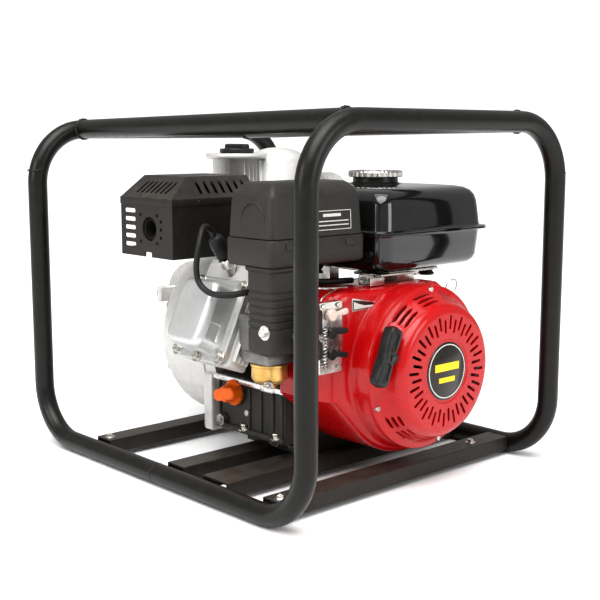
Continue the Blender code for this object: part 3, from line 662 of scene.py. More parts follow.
@dataclass
class TubeFrame:
    """The bent tube frame, its cross beams and every bolt and weld in it."""

    tube_radius: float = 12.5
    half_length: float = 261.0
    half_width: float = 208.5
    height_recoil_side: float = 440.0
    height_pump_side: float = 432.0
    top_bend: float = 72.0
    foot_bend: float = 70.0
    rail_y: float = 143.0
    beam_top: float = 25.0

    def build(self, frame: dict) -> None:
        """Make the hoops, rails, welds, beams and bolts."""
        for side, height, node in ((1, self.height_recoil_side, "frame_hoop_recoil_side"),
                                   (-1, self.height_pump_side, "frame_hoop_pump_side")):
            self._hoop(side, height, node)
        for side, node in ((-1, "top_rail_left"), (1, "top_rail_right")):
            self._rail(side, node)
        for node in ("base_beam_pump_side", "base_beam_engine_front", "base_beam_engine_rear",
                     "base_beam_recoil_side", "engine_bed"):
            refine(frame, node, BEAM_PAINT, edge=1.2)
        self._bolts()

    def _hoop(self, side: int, height: float, node: str) -> None:
        """Make one hoop, from the middle of one foot to the middle of the other.

        Args:
            side: One at the recoil side, minus one at the pump side.
            height: Height of the hoop over the ground.
            node: CAD node that it stands for.
        """
        x, top, low = side * self.half_length, height - self.tube_radius, self.tube_radius
        y = self.half_width
        path = rounded_path([(side * 0.3, -y, low), (x, -y, low), (x, -y, top), (x, y, top),
                             (x, y, low), (side * 0.3, y, low)],
                            [self.foot_bend, self.top_bend, self.top_bend, self.foot_bend], 16)
        wear(Shape().tube(path, self.tube_radius, 32).to_object(node + "_tube"), FRAME_COAT,
             FRAME_BODY, [node], crease=60)

    def _rail(self, side: int, node: str) -> None:
        """Make one top rail, with the weld beads at its ends.

        Args:
            side: One at the tank side, minus one at the air cleaner side.
            node: CAD node that it stands for.
        """
        reach = self.half_length - 4
        ends = [Vector((-reach, side * self.rail_y, self.height_pump_side - self.tube_radius)),
                Vector((reach, side * self.rail_y, self.height_recoil_side - self.tube_radius))]
        wear(Shape().tube(ends, self.tube_radius, 32).to_object(node + "_tube"), FRAME_COAT,
             FRAME_BODY, [node], crease=60)
        beads = Shape()
        along = (ends[1] - ends[0]).normalized()
        for end, way in ((ends[0], 1), (ends[1], -1)):
            self._bead(beads, end + along * way * 7.5, along)
        wear(beads.to_object(node + "_welds"), FRAME_COAT, FRAME_BODY, crease=70)

    def _bead(self, shape: Shape, spot: Vector, axis: Point) -> None:
        """Add a rippled weld bead round a tube.

        Args:
            shape: Shape to add to.
            spot: Middle of the bead, on the tube's axis.
            axis: Direction of the tube.
        """
        outline = [(self.tube_radius - 0.6 + 2.6 * math.cos(t), 3.0 * math.sin(t))
                   for t in (math.tau * i / 10 for i in range(10))]
        shape.lathe(outline, spot, axis, 72, ring=True,
                    wobble=lambda angle: 0.35 * math.sin(20 * angle))

    def _bolts(self) -> None:
        """Make the beam bolts, the foot seams and the seam rings on two posts."""
        bolts = Shape()
        for x, y in ((196, -186), (196, 137), (-135, -187), (-137, 184)):
            bolts.bolt((x, y, self.beam_top), (0, 0, 1), 7)
        for x, y in ((19, 122), (95, 122)):
            bolts.bolt((x, y, self.beam_top), (0, 0, 1), 9)
        bolts.bolt((45, -62, 35), (0, -1, 0), 9)
        bolts.bolt((80, -62, 35), (0, -1, 0), 9)
        wear(bolts.to_object("frame_bolts"), ZINC, FRAME_BODY, crease=30)
        seams = Shape()
        for y in (-self.half_width, self.half_width):
            seams.lathe([(12.4, -1.6), (12.75, -1.2), (12.75, 1.2), (12.4, 1.6)],
                        (0, y, self.tube_radius), (1, 0, 0), 48, ring=True)
        for x, y in ((261, 208.5), (-261, -208.5)):
            seams.lathe([(12.4, -1.0), (12.8, -0.6), (12.8, 0.6), (12.4, 1.0)], (x, y, 366),
                        (0, 0, 1), 48, ring=True)
        wear(seams.to_object("frame_seams"), FRAME_COAT, FRAME_BODY, crease=60)


@dataclass
class Engine:
    """Crankcase, cylinder, valve cover, ignition and the working parts inside."""

    crank_y: float = 27.0
    crank_z: float = 142.0
    bore_x: float = 20.0
    tilt: float = math.radians(25)
    head_top: float = 166.7
    cover_face: float = 209.0

    def along(self) -> Vector:
        """Return the direction of the tilted bore."""
        return Vector((0, -math.cos(self.tilt), math.sin(self.tilt)))

    def across(self) -> Vector:
        """Return the direction square to the bore and the crankshaft."""
        return Vector((0, math.sin(self.tilt), math.cos(self.tilt)))

    def on_bore(self, x: float, along: float, across: float) -> Vector:
        """Return a point given along and across the tilted bore."""
        return (Vector((x, self.crank_y, self.crank_z)) + self.along() * along
                + self.across() * across)

    def bore_frame(self) -> Matrix:
        """Return the matrix that lays (x, across, along) in the model's frame."""
        matrix = Matrix((Vector((1, 0, 0)), self.across(), self.along())).transposed().to_4x4()
        matrix.translation = Vector((0, self.crank_y, self.crank_z))
        return matrix

    def build(self, frame: dict) -> None:
        """Make every engine piece."""
        plain = (("crankcase", DARK_CASTING, 1.5), ("crankcase_side_cover", DARK_CASTING, 2.0),
                 ("cylinder_block", DARK_CASTING, 0.4), ("cylinder_head", SILVER_CASTING, 0.8),
                 ("bearing_pump_side", MACHINED, 0.4), ("bearing_flywheel_side", MACHINED, 0.4),
                 ("ignition_coil", GRIP_PLASTIC, 0.5), ("spark_plug", ZINC, 0.3),
                 ("oil_drain_bolt", ZINC, 0.4))
        for node, finish, edge in plain:
            refine(frame, node, finish, edge=edge)
        for node, body, finish in (("crankshaft", "rotor", MACHINED),
                                   ("flywheel", "rotor", SILVER_CASTING),
                                   ("impeller", "rotor", SILVER_CASTING),
                                   ("piston", "piston", SILVER_CASTING)):
            refine(frame, node, finish, body, 0.4)
        self._cover()
        self._case_details()
        self._dipstick()
        self._ignition()

    def _cover(self) -> None:
        """Make the valve cover: a flange, a raised dome with ribs, a breather pocket and bolts."""
        place = self.bore_frame()
        mid_x, mid_across = 20.0, -23.5
        shift = Matrix.Translation((mid_x, mid_across, 0))

        def flange(inset: float) -> list[tuple]:
            """Outline of the flange for an inset."""
            return rounded_rectangle(47 - inset, 51.5 - inset, 12 - inset, 6)

        def dome(inset: float) -> list[tuple]:
            """Outline of the dome for an inset."""
            return rounded_rectangle(35 - inset, 42.5 - inset, 15 - inset * 0.5, 8)

        low, high = self.head_top + 0.3, self.cover_face
        cover = Shape().stack(flange, [(0.8, low), (0, low + 0.8), (0, low + 7), (1.4, low + 8.4)],
                              place @ shift).to_object("valve_cover_casting")
        crown = Shape().stack(dome, [(-1.5, low + 4), (-1.5, low + 8.6), (0, low + 11),
                                     (1.2, high - 9), (3.2, high - 3.2), (6.5, high - 0.7),
                                     (10.5, high)], place @ shift)
        carve(cover, crown, "UNION")
        pocket = Shape().block((50, 62), (-52, -30), (low + 14, low + 33), 2.5, 3)
        bmesh.ops.transform(pocket.mesh, verts=pocket.mesh.verts,
                            matrix=self._in_metres(place))
        carve(cover, pocket)
        wear(cover, COVER_SATIN, FRAME_BODY, ["valve_cover"], 0.5)
        ribs = Shape()
        for i in range(3):
            middle = 10 + i * 12
            ribs.block((middle - 1.8, middle + 1.8), (-34, -16), (high - 1.4, high - 0.1), 0.6, 2)
        bmesh.ops.transform(ribs.mesh, verts=ribs.mesh.verts, matrix=self._in_metres(place))
        wear(ribs.to_object("valve_cover_ribs"), COVER_SATIN, FRAME_BODY)
        bolts = Shape()
        seat = low + 8.2
        for x, across in ((-20, -67), (60, -67), (-20, 20), (60, 20), (20, -70)):
            bolts.bolt(self.on_bore(x, seat, across), self.along(), 9)
        wear(bolts.to_object("valve_cover_bolts"), ZINC, FRAME_BODY, crease=30)

    @staticmethod
    def _in_metres(place: Matrix) -> Matrix:
        """Return a millimetre placing matrix as one for vertices already in metres."""
        matrix = place.copy()
        matrix.translation = matrix.translation * MM
        return matrix

    def _case_details(self) -> None:
        """Add the joint face, ribs, bosses and bolts of the crankcase, and the head's fins."""
        edge = Shape()
        edge.block((-34, 99), (-96, -89), (106.5, 113.5), 1.0)
        edge.block((60, 84), (-99, -90), (106, 121), 2.0)
        wear(edge.to_object("crankcase_joint_face"), COVER_METAL, FRAME_BODY)
        cast = Shape()
        for x in (-24, 34, 56, 78, 94):
            cast.block((x - 2, x + 2), (-94.5, -90), (47, 104), 1.4)
        cast.block((-27, 98), (-97, -90), (45, 52), 2.0)
        cast.lathe([(17, 0), (17, 3), (15.5, 4.4), (15.5, 0.5)], (8, -91.6, 95), (0, -1, 0), 40,
                   ring=True)
        cast.lathe([(11, 0), (11, 3), (9.6, 4), (6, 4)], (-16, -88, 56), (0, -1, 0), 32)
        wear(cast.to_object("crankcase_ribs"), DARK_CASTING, FRAME_BODY)
        fins = Shape()
        place = self.bore_frame()
        for i in range(4):
            level = 140.5 + i * 6.4
            fin = Shape().block((-33, 73), (-66, 53), (level, level + 2), 0.7, 2)
            bmesh.ops.transform(fin.mesh, verts=fin.mesh.verts, matrix=self._in_metres(place))
            fins._take(fin.mesh)
        wear(fins.to_object("cylinder_head_fins"), SILVER_CASTING, FRAME_BODY)
        bolts = Shape()
        for angle in range(0, 360, 45):
            turn = math.radians(angle + 20)
            spot = (-40.2, self.crank_y + 74 * math.cos(turn), self.crank_z + 74 * math.sin(turn))
            bolts.bolt(spot, (-1, 0, 0), 8, washer=False)
        for x, y in ((24, -86), (84, -86)):
            bolts.bolt((x, y - 5, 52), (0, -0.3, 1), 10)
        bolts.bolt((30, -90, 72), (0, -1, 0), 8)
        wear(bolts.to_object("crankcase_bolts"), ZINC, FRAME_BODY, crease=30)

    def _dipstick(self) -> None:
        """Make the orange filler plug with its wing."""
        axis, foot = (0, -1, 0), (8, -93, 95)
        knob = Shape().lathe([(7.5, -26), (7.8, 0), (15.5, 0), (16.2, 1.2), (16.2, 5.5), (14.6, 7),
                              (12.5, 8.5), (11, 12), (10.4, 18), (8.5, 21)], foot, axis, 40,
                             wobble=lambda angle: 0.35 * math.cos(14 * angle))
        wing = rounded_rectangle(20, 7.5, 7, 6)
        turn = Matrix.Rotation(math.radians(-14), 3, "Y")
        loops = []
        for shrink, depth in ((1.2, 6), (0, 7.2), (0, 20), (1.4, 21.6)):
            loops.append([Vector((8, -93 - depth, 95)) + turn @ Vector((
                x * (1 - shrink / 20), 0, z * (1 - shrink / 8))) for x, z in wing])
        knob.loft(loops)
        wear(knob.to_object("oil_dipstick_knob"), ORANGE, "dipstick", ["oil_dipstick"], crease=32)

    def _ignition(self) -> None:
        """Make the plug boot and the lead that runs from it to the coil."""
        seat = self.on_bore(self.bore_x, 142, 26)
        axis = self.along() * 0.849 + self.across() * 0.528
        base = seat + axis * 51
        boot = Shape().lathe([(5.7, 2), (9.2, 0.4), (10, 3), (9.2, 5), (10, 8), (9.3, 10),
                              (10, 13), (9.6, 20), (10, 22), (8.6, 27), (6, 29.6), (0, 30)],
                             base, axis, 32)
        wear(boot.to_object("spark_plug_boot_moulding"), RUBBER, FRAME_BODY, ["spark_plug_boot"],
             crease=45)
        start = base + axis * 29
        route = smooth_path([start, start + axis * 11, (29, -157, 305), (37, -170, 284),
                             (37, -174, 262), (41, -174, 244), (56, -171, 233), (76, -164, 231),
                             (92, -147, 234), (100, -118, 240), (112, -88, 243.5),
                             (126, -56, 242), (132, -14, 240.5)], 8)
        lead = Shape().tube(route, 3.6, 16)
        wear(lead.to_object("spark_plug_lead_cable"), RUBBER, FRAME_BODY, ["spark_plug_lead"],
             crease=60)


@dataclass
class FanAndStarter:
    """Fan shroud, recoil housing with its slots and badge, reel, and pull grip."""

    crank_y: float = 27.0
    crank_z: float = 142.0
    back: float = 99.3
    step: float = 172.0
    front: float = 187.0
    face_left: float = -86.0
    radius: float = 108.0
    top: float = 236.0
    left: float = -100.0
    housing_back: float = 212.0
    housing_face: float = 247.0

    def outline(self, inset: float, shift: float = 0.0) -> list[tuple]:
        """Return the shroud's outline for an inset, as (y, z) pairs.

        Args:
            inset: How far the outline draws in.
            shift: How much further the left side alone draws in.

        Returns:
            The outline: round about the shaft, flat on top, with a duct towards the cylinder.
        """
        radius, top, left = self.radius - inset, self.top - inset, self.left + inset + shift
        first = math.degrees(math.asin((top - self.crank_z) / radius))
        points = []
        for i in range(49):
            turn = math.radians(first + (-144 - first) * i / 48)
            points.append((self.crank_y + radius * math.cos(turn),
                           self.crank_z + radius * math.sin(turn)))
        low = 112 + inset
        for i in range(9):
            points.append((left, low + (top - 16 - low) * i / 8))
        for i in range(1, 9):
            turn = math.radians(180 - 90 * i / 8)
            points.append((left + 14 + 14 * math.cos(turn), top - 14 + 14 * math.sin(turn)))
        return points

    def build(self, frame: dict) -> None:
        """Make every piece of the fan shroud and the starter."""
        self._shroud()
        self._housing()
        self._badge()
        self._grip()
        refine(frame, "recoil_reel", GRIP_PLASTIC, "starter_reel", 0.5)

    def _shroud(self) -> None:
        """Make the shroud's skin, its collar, its label and its bolts."""
        lay = Matrix(((0, 0, 1, 0), (1, 0, 0, 0), (0, 1, 0, 0), (0, 0, 0, 1)))
        edge, shift = 7.0, self.face_left - self.left
        loops = [[lay @ Vector((y, z, x)) for y, z in self.outline(inset, 0.0)]
                 for inset, x in ((0.0, self.back), (-0.6, self.back + 0.5), (-0.6, self.back + 4),
                                  (0.0, self.back + 5), (0.0, self.step - 16))]
        for i in range(1, 13):
            turn = math.radians(90 * i / 12)
            x = self.step - 16 + (self.front - self.step + 16) * math.sin(turn)
            inset = max(0.0, edge * (1 - math.sqrt(max(0.0, 1 - (max(0.0, x - self.front + edge)
                                                                 / edge) ** 2))))
            loops.append([lay @ Vector((y, z, x))
                          for y, z in self.outline(inset, (shift + 8) * (1 - math.cos(turn)))])
        skin = Shape().loft(loops).to_object("fan_shroud_skin")
        centre = (0, self.crank_y, self.crank_z)
        carve(skin, self._collar(), "UNION")
        hollow = Shape().loft([[lay @ Vector((y, z, x)) for y, z in self.outline(inset + 3, draw)]
                               for inset, draw, x in ((0, 0, 90), (0, 0, self.step - 17),
                                                      (0, 5, self.step - 8), (1, 14, self.step + 2),
                                                      (4, 22, self.front - 3))])
        carve(skin, hollow)
        bore = Shape().lathe([(92, 180), (92, 188), (91, 208), (91, 214), (90, 230)], centre,
                             (1, 0, 0), 64)
        carve(skin, bore)
        wear(skin, RED_PAINT, FRAME_BODY, ["fan_shroud"], crease=28)
        self._label()
        bolts = Shape()
        bolts.bolt((112, -67, 84), (0, -0.5, -0.86), 8)
        for angle in (8, 88, 203, 283):
            turn = math.radians(angle)
            bolts.bolt((216.0, self.crank_y + 92 * math.cos(turn),
                        self.crank_z + 92 * math.sin(turn)), (1, 0, 0), 6, washer=False)
        wear(bolts.to_object("fan_shroud_bolts"), ZINC, FRAME_BODY, crease=30)
        ring = [Vector((203 + 3 * math.sin(t), 84 + 10 * math.cos(t), 230 + 10 * math.sin(t)))
                for t in (math.tau * i / 32 for i in range(32))]
        wear(Shape().tube(ring, 0.9, 8, closed=True).to_object("wire_clip"), ZINC, FRAME_BODY)

    def _collar(self) -> Shape:
        """Return the collar, which flows out of the shroud's front face in a soft fillet."""
        loops = []
        for reach, x in ((60, 176), (96, 176), (103, self.front - 0.4), (100.5, self.front + 0.4),
                         (98.6, self.front + 2), (97.6, self.front + 4.5), (97.2, self.front + 9),
                         (97.0, 209.5), (96.2, 211.7), (60, 211.7)):
            loop = []
            for i in range(96):
                turn = math.tau * i / 96
                across, up = math.cos(turn), math.sin(turn)
                room = (self.top - self.crank_z - 4) / up if up > 0.5 else reach
                out = reach if reach < 97.5 else max(97.3, min(reach, room))
                loop.append((x, self.crank_y + out * across, self.crank_z + out * up))
            loops.append(loop)
        return Shape().loft(loops)

    def _slot(self, shape: Shape, x: float, angle: float, half: float, depth: float) -> None:
        """Add the cutter of one cooling slot on the starter's flank.

        Args:
            shape: Shape to add to.
            x: Place of the slot along the shaft.
            angle: Place of the slot round the shaft, in degrees.
            half: Half its angle, in degrees.
            depth: Half its width along the shaft.
        """
        loops = []
        for i in range(9):
            turn = math.radians(angle - half + 2 * half * i / 8)
            width = depth * math.sqrt(max(0.04, 1 - (abs(i - 4) / 4) ** 6))
            spoke = Vector((0, math.cos(turn), math.sin(turn)))
            hub = Vector((0, self.crank_y, self.crank_z))
            loops.append([hub + spoke * r + Vector((x + w, 0, 0))
                          for r, w in ((70, -width), (99, -width), (99, width), (70, width))])
        shape.loft(loops)

    def _label(self) -> None:
        """Make the small metal plate on the shroud: a frame, a dark field and a pale wedge."""
        x = self.front
        for name, finish, rise, corners in (
                ("shroud_label_frame", ZINC, 0.6, ((-70, 214.5), (-29, 215.5), (-29, 222.5), (-70, 230))),
                ("shroud_label_field", BADGE_BLACK, 0.9,
                 ((-68.4, 216), (-30.4, 217), (-30.4, 221.4), (-68.4, 228.2))),
                ("shroud_label_wedge", BADGE_WHITE, 1.2,
                 ((-67.5, 217), (-31.5, 217.8), (-31.5, 219.6), (-50, 220.4), (-60, 223), (-67.5, 226)))):
            patch = Shape().loft([[(level, y, z) for y, z in corners] for level in (x - 0.5, x + rise)])
            wear(patch.to_object(name), finish, FRAME_BODY)

    def _housing(self) -> None:
        """Make the recoil housing with two rings of air slots and its spindle."""
        back, face = self.housing_back, self.housing_face
        hub = (0, self.crank_y, self.crank_z)
        profile = [(96.6, back), (97, back + 0.6), (96.8, back + 2.6), (95.6, back + 3.8),
                   (92.5, back + 4.6), (89.5, back + 6.4), (87.2, back + 9), (80.2, face - 11),
                   (78.2, face - 6.8), (75.6, face - 3.2), (72.4, face - 1.2), (69.5, face - 0.3),
                   (66, face), (38, face), (37, face - 1.0), (0, face - 1.0)]
        inner = [(0, face - 3.6), (35, face - 3.6), (65, face - 2.8), (71, face - 4),
                 (75.4, face - 8), (84.6, back + 10), (87, back + 5), (88, back)]
        housing = Shape().lathe(profile + inner, hub, (1, 0, 0), 96, ring=True)
        shell = housing.to_object("recoil_housing_shell")
        slots = Shape()
        for x in (219.6, 226.4, 233.2):
            for angle in (101, 127, 74, 219, 236, 253):
                self._slot(slots, x, angle, 6.4 if angle > 200 else 9.6, 1.9)
        carve(shell, slots)
        slots = Shape()
        for i in range(40):
            spin = math.tau * (i + 0.5) / 40
            low, high = ((44.5, 60.5), (49.0, 65.5))[i % 2]
            half, nose = 1.75, 1.2
            spoke = Vector((0, math.cos(spin), math.sin(spin)))
            side = Vector((0, -math.sin(spin), math.cos(spin)))
            rim = [(low, -half * 0.6), (low + nose, -half), (high - nose, -half),
                   (high, -half * 0.6), (high, half * 0.6), (high - nose, half),
                   (low + nose, half), (low, half * 0.6)]
            slots.loft([[Vector(hub) + Vector((x, 0, 0)) + spoke * r + side * s
                         for r, s in rim] for x in (face - 9, face + 4)])
        carve(shell, slots)
        wear(shell, RED_PAINT, FRAME_BODY, ["recoil_housing"], crease=32)
        guide = Shape().lathe([(9, -6), (9, 0.5), (7.8, 2.0), (5.2, 2.2), (4.4, 1.0)],
                              (231, -51, 166), (0.35, -0.9, 0.28), 32)
        guide.lathe([(8, 188), (8, face - 3.4), (0, face - 3.4)], hub, (1, 0, 0), 24)
        wear(guide.to_object("rope_guide_and_spindle"), GRIP_PLASTIC, FRAME_BODY)

    def _badge(self) -> None:
        """Make the round badge: a dark disc, a pale ring and two plain yellow bars."""
        face, y, z = self.housing_face, self.crank_y, self.crank_z
        disc = Shape().lathe([(0, -1.4), (34, -1.4), (34.2, -0.4), (33.6, 0.1), (0, 0.2)],
                             (face - 0.4, y, z), (1, 0, 0), 72)
        wear(disc.to_object("starter_badge_disc"), BADGE_BLACK, FRAME_BODY, crease=50)
        ring = Shape().lathe([(30.6, -0.3), (30.6, 0.25), (31.8, 0.25), (31.8, -0.3)],
                             (face - 0.1, y, z), (1, 0, 0), 72, ring=True)
        wear(ring.to_object("starter_badge_ring"), BADGE_WHITE, FRAME_BODY)
        bars = Shape()
        bars.block((face - 0.5, face + 0.3), (y - 21, y + 21), (z + 0.5, z + 9.5), 0.2, 1)
        bars.block((face - 0.5, face + 0.3), (y - 14, y + 14), (z - 13, z - 7), 0.2, 1)
        wear(bars.to_object("starter_badge_bars"), BADGE_YELLOW, FRAME_BODY)

    def _grip(self) -> None:
        """Make the starter grip: a rounded bar with scooped faces on a short boss."""
        low, high = Vector((237, -79.5, 137.5)), Vector((237, -52.5, 202.5))
        along = (high - low).normalized()
        out = Vector((1, 0, 0))
        side = along.cross(out).normalized()
        length = (high - low).length
        loops = []
        for i in range(25):
            t = i / 24
            swell = 1 - 0.2 * math.exp(-((t - 0.5) / 0.13) ** 2)
            end = math.sqrt(max(0.05, 1 - (abs(2 * t - 1)) ** 16))
            loops.append([low + along * length * t + out * x * end * 0.92 + side * y * swell * end
                          for x, y in rounded_rectangle(8.4, 9.6, 3.4, 4)])
        grip = Shape().loft(loops)
        middle = (low + high) / 2
        grip.lathe([(9.2, 0), (9.0, 5), (7.8, 9), (6.6, 13), (4.5, 14)], middle,
                   Vector((-0.05, 0.98, -0.15)), 32)
        made = grip.to_object("starter_grip_bar")
        scoops = Shape()
        for t in (0.25, 0.75):
            spot = low + along * length * t
            scoops.block((spot.x + 5.2, spot.x + 12), (spot.y - 4.2, spot.y + 4.2),
                         (spot.z - 11, spot.z + 11), 2.4, 3,
                         Matrix.Rotation(-math.radians(22.6), 3, "X"))
        carve(made, scoops)
        wear(made, GRIP_PLASTIC, "starter_grip", ["recoil_grip"], 0.4, 30)


@dataclass
class FuelTank:
    """The two tank shells with their rolled seam, the knurled cap, and the tank's mounts."""

    x: tuple[float, float] = (-35.0, 183.0)
    y: tuple[float, float] = (-16.0, 189.0)
    seam: float = 297.0
    bottom: float = 250.0
    top: float = 350.0
    cap_x: float = 73.0

    def build(self, frame: dict) -> None:
        """Make the tank, the cap and the mounts."""
        mid_x, mid_y = sum(self.x) / 2, sum(self.y) / 2
        half_x, half_y = (self.x[1] - self.x[0]) / 2, (self.y[1] - self.y[0]) / 2
        place = Matrix.Translation((mid_x, mid_y, 0))

        def outline(inset: float) -> list[tuple]:
            """Outline of the tank for an inset."""
            return rounded_rectangle(half_x - inset, half_y - inset, max(8.0, 21 - inset * 0.15), 10)

        seam, top, low = self.seam, self.top, self.bottom
        upper = [(1.0, seam + 0.15), (0.2, seam + 0.5), (0.2, seam + 1.6), (1.0, seam + 2.1),
                 (5.4, seam + 2.2), (6.6, seam + 3.2), (7.2, seam + 6), (8.2, seam + 18),
                 (10.0, top - 20), (12.0, top - 12.5), (16, top - 6.6), (22, top - 2.9),
                 (31, top - 1.0), (46, top), (70, top + 0.4)]
        lower = [(70, low), (30, low), (21, low + 0.9), (15.5, low + 3.4), (11.8, low + 7.6),
                 (9.8, low + 13), (8.4, seam - 16), (7.4, seam - 5), (6.8, seam - 3.0),
                 (5.8, seam - 2.2), (1.0, seam - 2.1), (0.2, seam - 1.6), (0.2, seam - 0.5),
                 (1.0, seam - 0.15)]
        for name, node, levels in (("fuel_tank_top_shell", "fuel_tank_upper", upper),
                                   ("fuel_tank_bottom_shell", "fuel_tank_lower", lower)):
            made = Shape().stack(outline, levels, place).to_object(name)
            wear(made, TANK_PAINT, FRAME_BODY, [node], crease=40)
        self._cap(Vector((self.cap_x, mid_y, top)))
        self._mounts(frame)

    def _cap(self, foot: Vector) -> None:
        """Make the filler neck and the knurled cap.

        Args:
            foot: Middle of the filler, on the tank's top.
        """
        neck = Shape().lathe([(33, -1.5), (33, 0.6), (30.5, 1.6), (29, 3), (28.4, 8.8), (26, 9),
                              (26, 2)], foot, (0, 0, 1), 56)
        wear(neck.to_object("filler_neck_ring"), GRIP_PLASTIC, FRAME_BODY, crease=40)
        lid = Shape().lathe([(30, 9.4), (33.6, 9.4), (34.4, 10.2), (34.4, 15.2), (33.4, 16.8),
                             (31, 17.4), (26, 17.5), (25, 16.6), (12, 16.9), (0, 17.2)], foot,
                            (0, 0, 1), 144,
                            wobble=lambda angle: 0.42 * math.cos(36 * angle))
        cap = lid.to_object("fuel_cap_lid")
        wear(cap, ZINC, "tank_cap", ["fuel_cap"], crease=30)
        trim = Shape()
        for i in range(3):
            turn = math.tau * i / 3
            spot = foot + Vector((18 * math.cos(turn), 18 * math.sin(turn), 16.6))
            trim.lathe([(3.2, 0), (3.2, 0.5), (2.6, 0.8), (0, 0.8)], spot, (0, 0, 1), 20)
        wear(trim.to_object("fuel_cap_dimples"), ZINC, "tank_cap")

    def _mounts(self, frame: dict) -> None:
        """Make the tank stay, its channel ends, rubber mounts and bolts."""
        refine(frame, "tank_stay", ZINC, edge=0.5)
        rubbers = Shape()
        for x, y in ((140, 110), (140, 62), (40, 26), (40, 120)):
            rubbers.lathe([(10, 238), (10.5, 240), (8, 243), (10.5, 246), (10, 250.5)], (x, y, 0),
                          (0, 0, 1), 32)
        wear(rubbers.to_object("tank_rubber_mounts"), RUBBER, FRAME_BODY, crease=50)
        steel = Shape()
        steel.block((150, 170), (-22, 2), (237.0, 240.0), 0.8)
        steel.block((150, 152.5), (-22, 2), (238, 249.5), 0.8)
        steel.block((167.5, 170), (-22, 2), (238, 247), 0.8)
        steel.block((118, 165), (2, 60), (245.5, 248.6), 0.8)
        for x, y in ((160, -10), (140, 88), (120, 40)):
            steel.bolt((x, y, 240), (0, 0, 1), 8)
        wear(steel.to_object("tank_bracket"), ZINC, FRAME_BODY)


